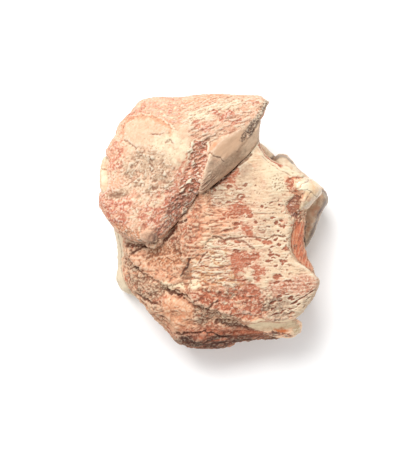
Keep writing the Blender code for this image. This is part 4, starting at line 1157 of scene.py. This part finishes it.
def makeMud():
    at = mud["places"]
    filling = [at[key] for key in ("lowerSeam", "leftSeam", "joint", "barSeam")]
    s = Skin("sediment", "mudstone", mud, filling)
    onPlate = s.area(at["onPlate"], 3)
    onBar = s.area(at["onBar"], 1.2, 0.6) * soft(s.z, 20, 24)
    s.within = onPlate
    dressPlate(s)
    s.within = onBar
    dressBar(s)
    # the bar's mud is lightened and its hollow shade held back: painted light where the plate shades it
    s.mark(1, pale=0.55)
    s.calm = 0.5 * onBar
    rest = (1 - onPlate) * (1 - onBar)
    s.within = rest
    side = 1 - soft(s.normals[:, 2], 0.45, 0.8)
    foot = soft(s.v, 292, 304) * soft(s.u, 300, 280)
    bedding = beds(s, 4.8, 122) + 0.9 * s.flakes(4.6, 146, (1.5, 1.5, 0.8))
    s.raiseBy(side * (1 - foot) * bedding + 0.6 * foot * beds(s, 2.4, 119))
    lumps = 0.9 * s.flakes(3.4, 123, (1.5, 1.2, 0.8), 12) + 0.5 * s.flakes(1.3, 124, (1.4, 1, 0.8))
    s.raiseBy(lumps + 0.16 * s.noise(0.9, 136, 3))
    strata = soft(s.v, 322, 332) * soft(s.u, 164, 190)
    layers = s.noise(0.9, 144, 3, (3.5, 1, 1), 4) + 0.3 * s.noise(4, 145)
    s.raiseBy(0.45 * strata * terraces(layers * 2, 0.5) / 2)
    s.calm = np.maximum(s.calm, 0.5 * strata)
    s.mark(s.patchy(3.0, 118, -0.4, 0.4), blush=0.8)
    s.mark(s.patchy(2.6, 125, -0.1, 0.4, 3, (1.5, 1.5, 0.6)), red=0.8)
    s.mark(s.patchy(1.4, 138, 0.1, 0.5), pale=0.55)
    s.mark(side * s.patchy(2.4, 126, 0.0, 0.5), crust=0.5)
    s.mark(side * s.patchy(0.8, 127, 0.3, 0.6, 2, (7, 7, 1)), pale=0.5)
    # fibres of red rock beside the joint
    fibres = s.area(at["fibres"], 2)
    threads = s.noise(0.6, 128, 2, (1, 8, 2), -12)
    s.lift = s.lift * (1 - 0.8 * fibres)
    s.raiseBy(0.4 * fibres * threads)
    s.calm = np.maximum(s.calm, 0.4 * fibres)
    s.wipe(fibres, pale=0.9)
    s.mark(fibres, red=1)
    s.mark(fibres * soft(threads, -0.3, 0.4), rust=0.5)
    s.mark(fibres * s.patchy(0.5, 151, 0.0, 0.4, 2, (1, 9, 2), -12), dirt=0.7)
    s.mark(s.line(at["paleThread"], 1.8), pale=0.9)
    s.mark(s.line(at["shortThread"], 1.4), pale=0.6)
    s.mark(s.line(at["brownThread"], 1.8), dirt=0.8)
    pocket = s.area(at["pocket"], 1.0)
    s.raiseBy(-0.5 * pocket)
    s.wipe(pocket, pale=1)
    s.mark(pocket, red=1, rust=0.5, dirt=0.42, gloss=0.95)
    s.mark(s.line(at["collar"], 3.2, 1.2), red=0.9, dirt=0.4)
    flakes = s.area(at["flakes"], 1.5)
    s.raiseBy(flakes * 0.9 * s.flakes(1.0, 129, (2.0, 1, 1), 35))
    s.mark(flakes * s.patchy(0.8, 130, 0.0, 0.3, 2, (2.5, 1, 1), 35), pale=0.8)
    # red-brown matrix between the dome and the near branch
    lap = s.area(at["lap"], 5)
    s.mark(lap, blush=0.9)
    s.mark(lap * s.patchy(1.3, 120, -0.3, 0.3), red=0.65)
    s.mark(lap * s.patchy(1.5, 121, -0.2, 0.4), crust=0.65)
    s.mark(lap * s.patchy(1.1, 152, -0.3, 0.4), dirt=0.42)
    # the pink flake and what lies round it
    pink = s.area(at["pink"], 4)
    s.raiseBy(0.9 * s.area(at["pinkFlake"], 1.3))
    s.wipe(pink, red=0.6)
    s.mark(pink, blush=0.6, rust=0.3)
    s.mark(pink * s.patchy(1.6, 131, -0.1, 0.5), pale=0.5)
    brown = s.area(at["brown"], 4)
    s.raiseBy(0.45 * brown * s.flakes(0.9, 132))
    s.mark(brown, rust=0.5)
    s.mark(brown * s.patchy(1.2, 133, -0.5, 0.2), crust=0.9)
    s.mark(brown * s.patchy(0.9, 148, 0.0, 0.4), dirt=0.3)
    greyChip = s.area(at["greyChip"], 0.9, 0.5)
    s.within = 1.0
    s.lift = s.lift * (1 - 0.8 * greyChip)
    s.mark(greyChip, crust=0.9)
    s.mark(s.line(at["besideChip"], 1.8, 0.6), dirt=0.8)
    for outline in at["creamChips"]:
        creamChip = s.area(outline, 1.4, 1.6)
        s.raiseBy(0.3 * creamChip)
        s.wipe(creamChip, red=0.8)
        s.mark(creamChip, pale=0.75)
    s.within = rest
    ledge = s.area(at["ledge"], 3)
    s.mark(ledge * s.patchy(1.2, 140, -0.5, 0.3, 2), crust=0.8)
    s.raiseBy(0.7 * ledge * s.flakes(1.5, 134, (2, 1, 1)))
    s.mark(s.patchy(2.0, 147, 0.1, 0.5) * (1 - pink), dirt=0.3)
    for outline, seed in at["patches"]:
        patch = s.area(outline, 3)
        s.raiseBy(patch * 0.9 * s.flakes(1.2, seed))
        s.mark(patch * s.patchy(1.4, seed + 1, -0.6, 0.2, 2), crust=0.9)
        s.mark(patch * s.patchy(1.1, seed + 3, 0.0, 0.5, 2), dirt=0.4)
    for points, width in mud["cracks"]:
        s.crack(points, width, 1.2, 0.75, 0.66)
    tan = s.area(at["tanPatch"], 4)
    s.mark(tan * s.patchy(2.6, 142, -0.4, 0.4), pale=0.35)
    s.mark(tan, rust=0.5)
    s.mark(tan * s.patchy(1.3, 150, -0.3, 0.3), blush=0.6)
    s.wipe(tan, red=0.6, dirt=0.7)
    s.lift = s.lift * (1 - 0.35 * tan)
    s.mark(s.area(at["crustyLap"], 4) * s.patchy(1.6, 117, -0.4, 0.3), crust=0.8)
    redBand = s.area(at["redBand"], 2)
    s.mark(redBand, red=0.9)
    s.wipe(redBand, crust=1, pale=0.8)
    chipSpot = s.area(at["chipSpot"], 0.8, 0.4)
    s.raiseBy(0.5 * chipSpot)
    s.mark(chipSpot, pale=1)
    strata = strata * soft(s.z, 9, 22)
    s.mark(strata, red=0.7)
    s.mark(strata * s.patchy(1.6, 143, -0.4, 0.4, 3, (3, 1, 0.6)), dirt=0.5)
    # painted shade on the underside of the lowest band
    under = soft(s.v, 333, 337) * soft(s.u, 168, 176) * soft(s.z + 4 * s.noise(6, 153, 2), 16, 26)
    s.mark(under * s.patchy(2.2, 149, -0.7, 0.2, 3, (3, 1, 0.6)), dirt=0.8)
    s.within = 1.0
    s.finish(fossilFinish("redMudstone", mud), "sediment")


for make in (makeRamus, makeCondyle, makeRim, makeCheek, makeChip, makeBorder, makeFarBranch, makeMud):
    make()

# Floor, light and camera
studio = {"floorSize": 6.0, "floorWhite": 0.9, "floorRoughness": 0.9, "skyStrength": 0.82,
          "lampPower": 19.0, "lampWidth": 0.7, "lampFrom": (-0.30, 0.62, 1.08), "lampAim": (0, 0, 0.03),
          "sensor": 36.0}

floorMesh = bpy.data.meshes.new("floor")
half = studio["floorSize"] / 2
corners = [(-half, -half, 0), (half, -half, 0), (half, half, 0), (-half, half, 0)]
floorMesh.from_pydata(corners, [], [(0, 1, 2, 3)])
floor = bpy.data.objects.new("floor", floorMesh)
scene.collection.objects.link(floor)
paper = Finish("paper")
paper.feed(paper.shader.inputs["Base Color"], (*[studio["floorWhite"]] * 3, 1))
paper.feed(paper.shader.inputs["Roughness"], studio["floorRoughness"])
floorMesh.materials.append(paper.material)

sky = bpy.data.worlds.new("sky")
sky.use_nodes = True
sky.node_tree.nodes["Background"].inputs["Color"].default_value = (1, 1, 1, 1)
sky.node_tree.nodes["Background"].inputs["Strength"].default_value = studio["skyStrength"]
scene.world = sky

lampData = bpy.data.lights.new("softbox", "AREA")
lampData.energy, lampData.size = studio["lampPower"], studio["lampWidth"]
lamp = bpy.data.objects.new("softbox", lampData)
lamp.location = studio["lampFrom"]
aim = Vector(studio["lampAim"]) - lamp.location
lamp.rotation_euler = aim.to_track_quat("-Z", "Y").to_euler()
scene.collection.objects.link(lamp)

cameraData = bpy.data.cameras.new("camera")
cameraData.sensor_fit, cameraData.sensor_width = "HORIZONTAL", studio["sensor"]
cameraData.lens = studio["sensor"] * (chart["eye"] - chart["level"]) / (chart["width"] * chart["square"])
camera = bpy.data.objects.new("camera", cameraData)
camera.location = (chart["over"][0] / 1000, chart["over"][1] / 1000, chart["eye"] / 1000)
scene.collection.objects.link(camera)
scene.camera = camera
print("floor, light and camera are in place")

bpy.context.view_layer.update()
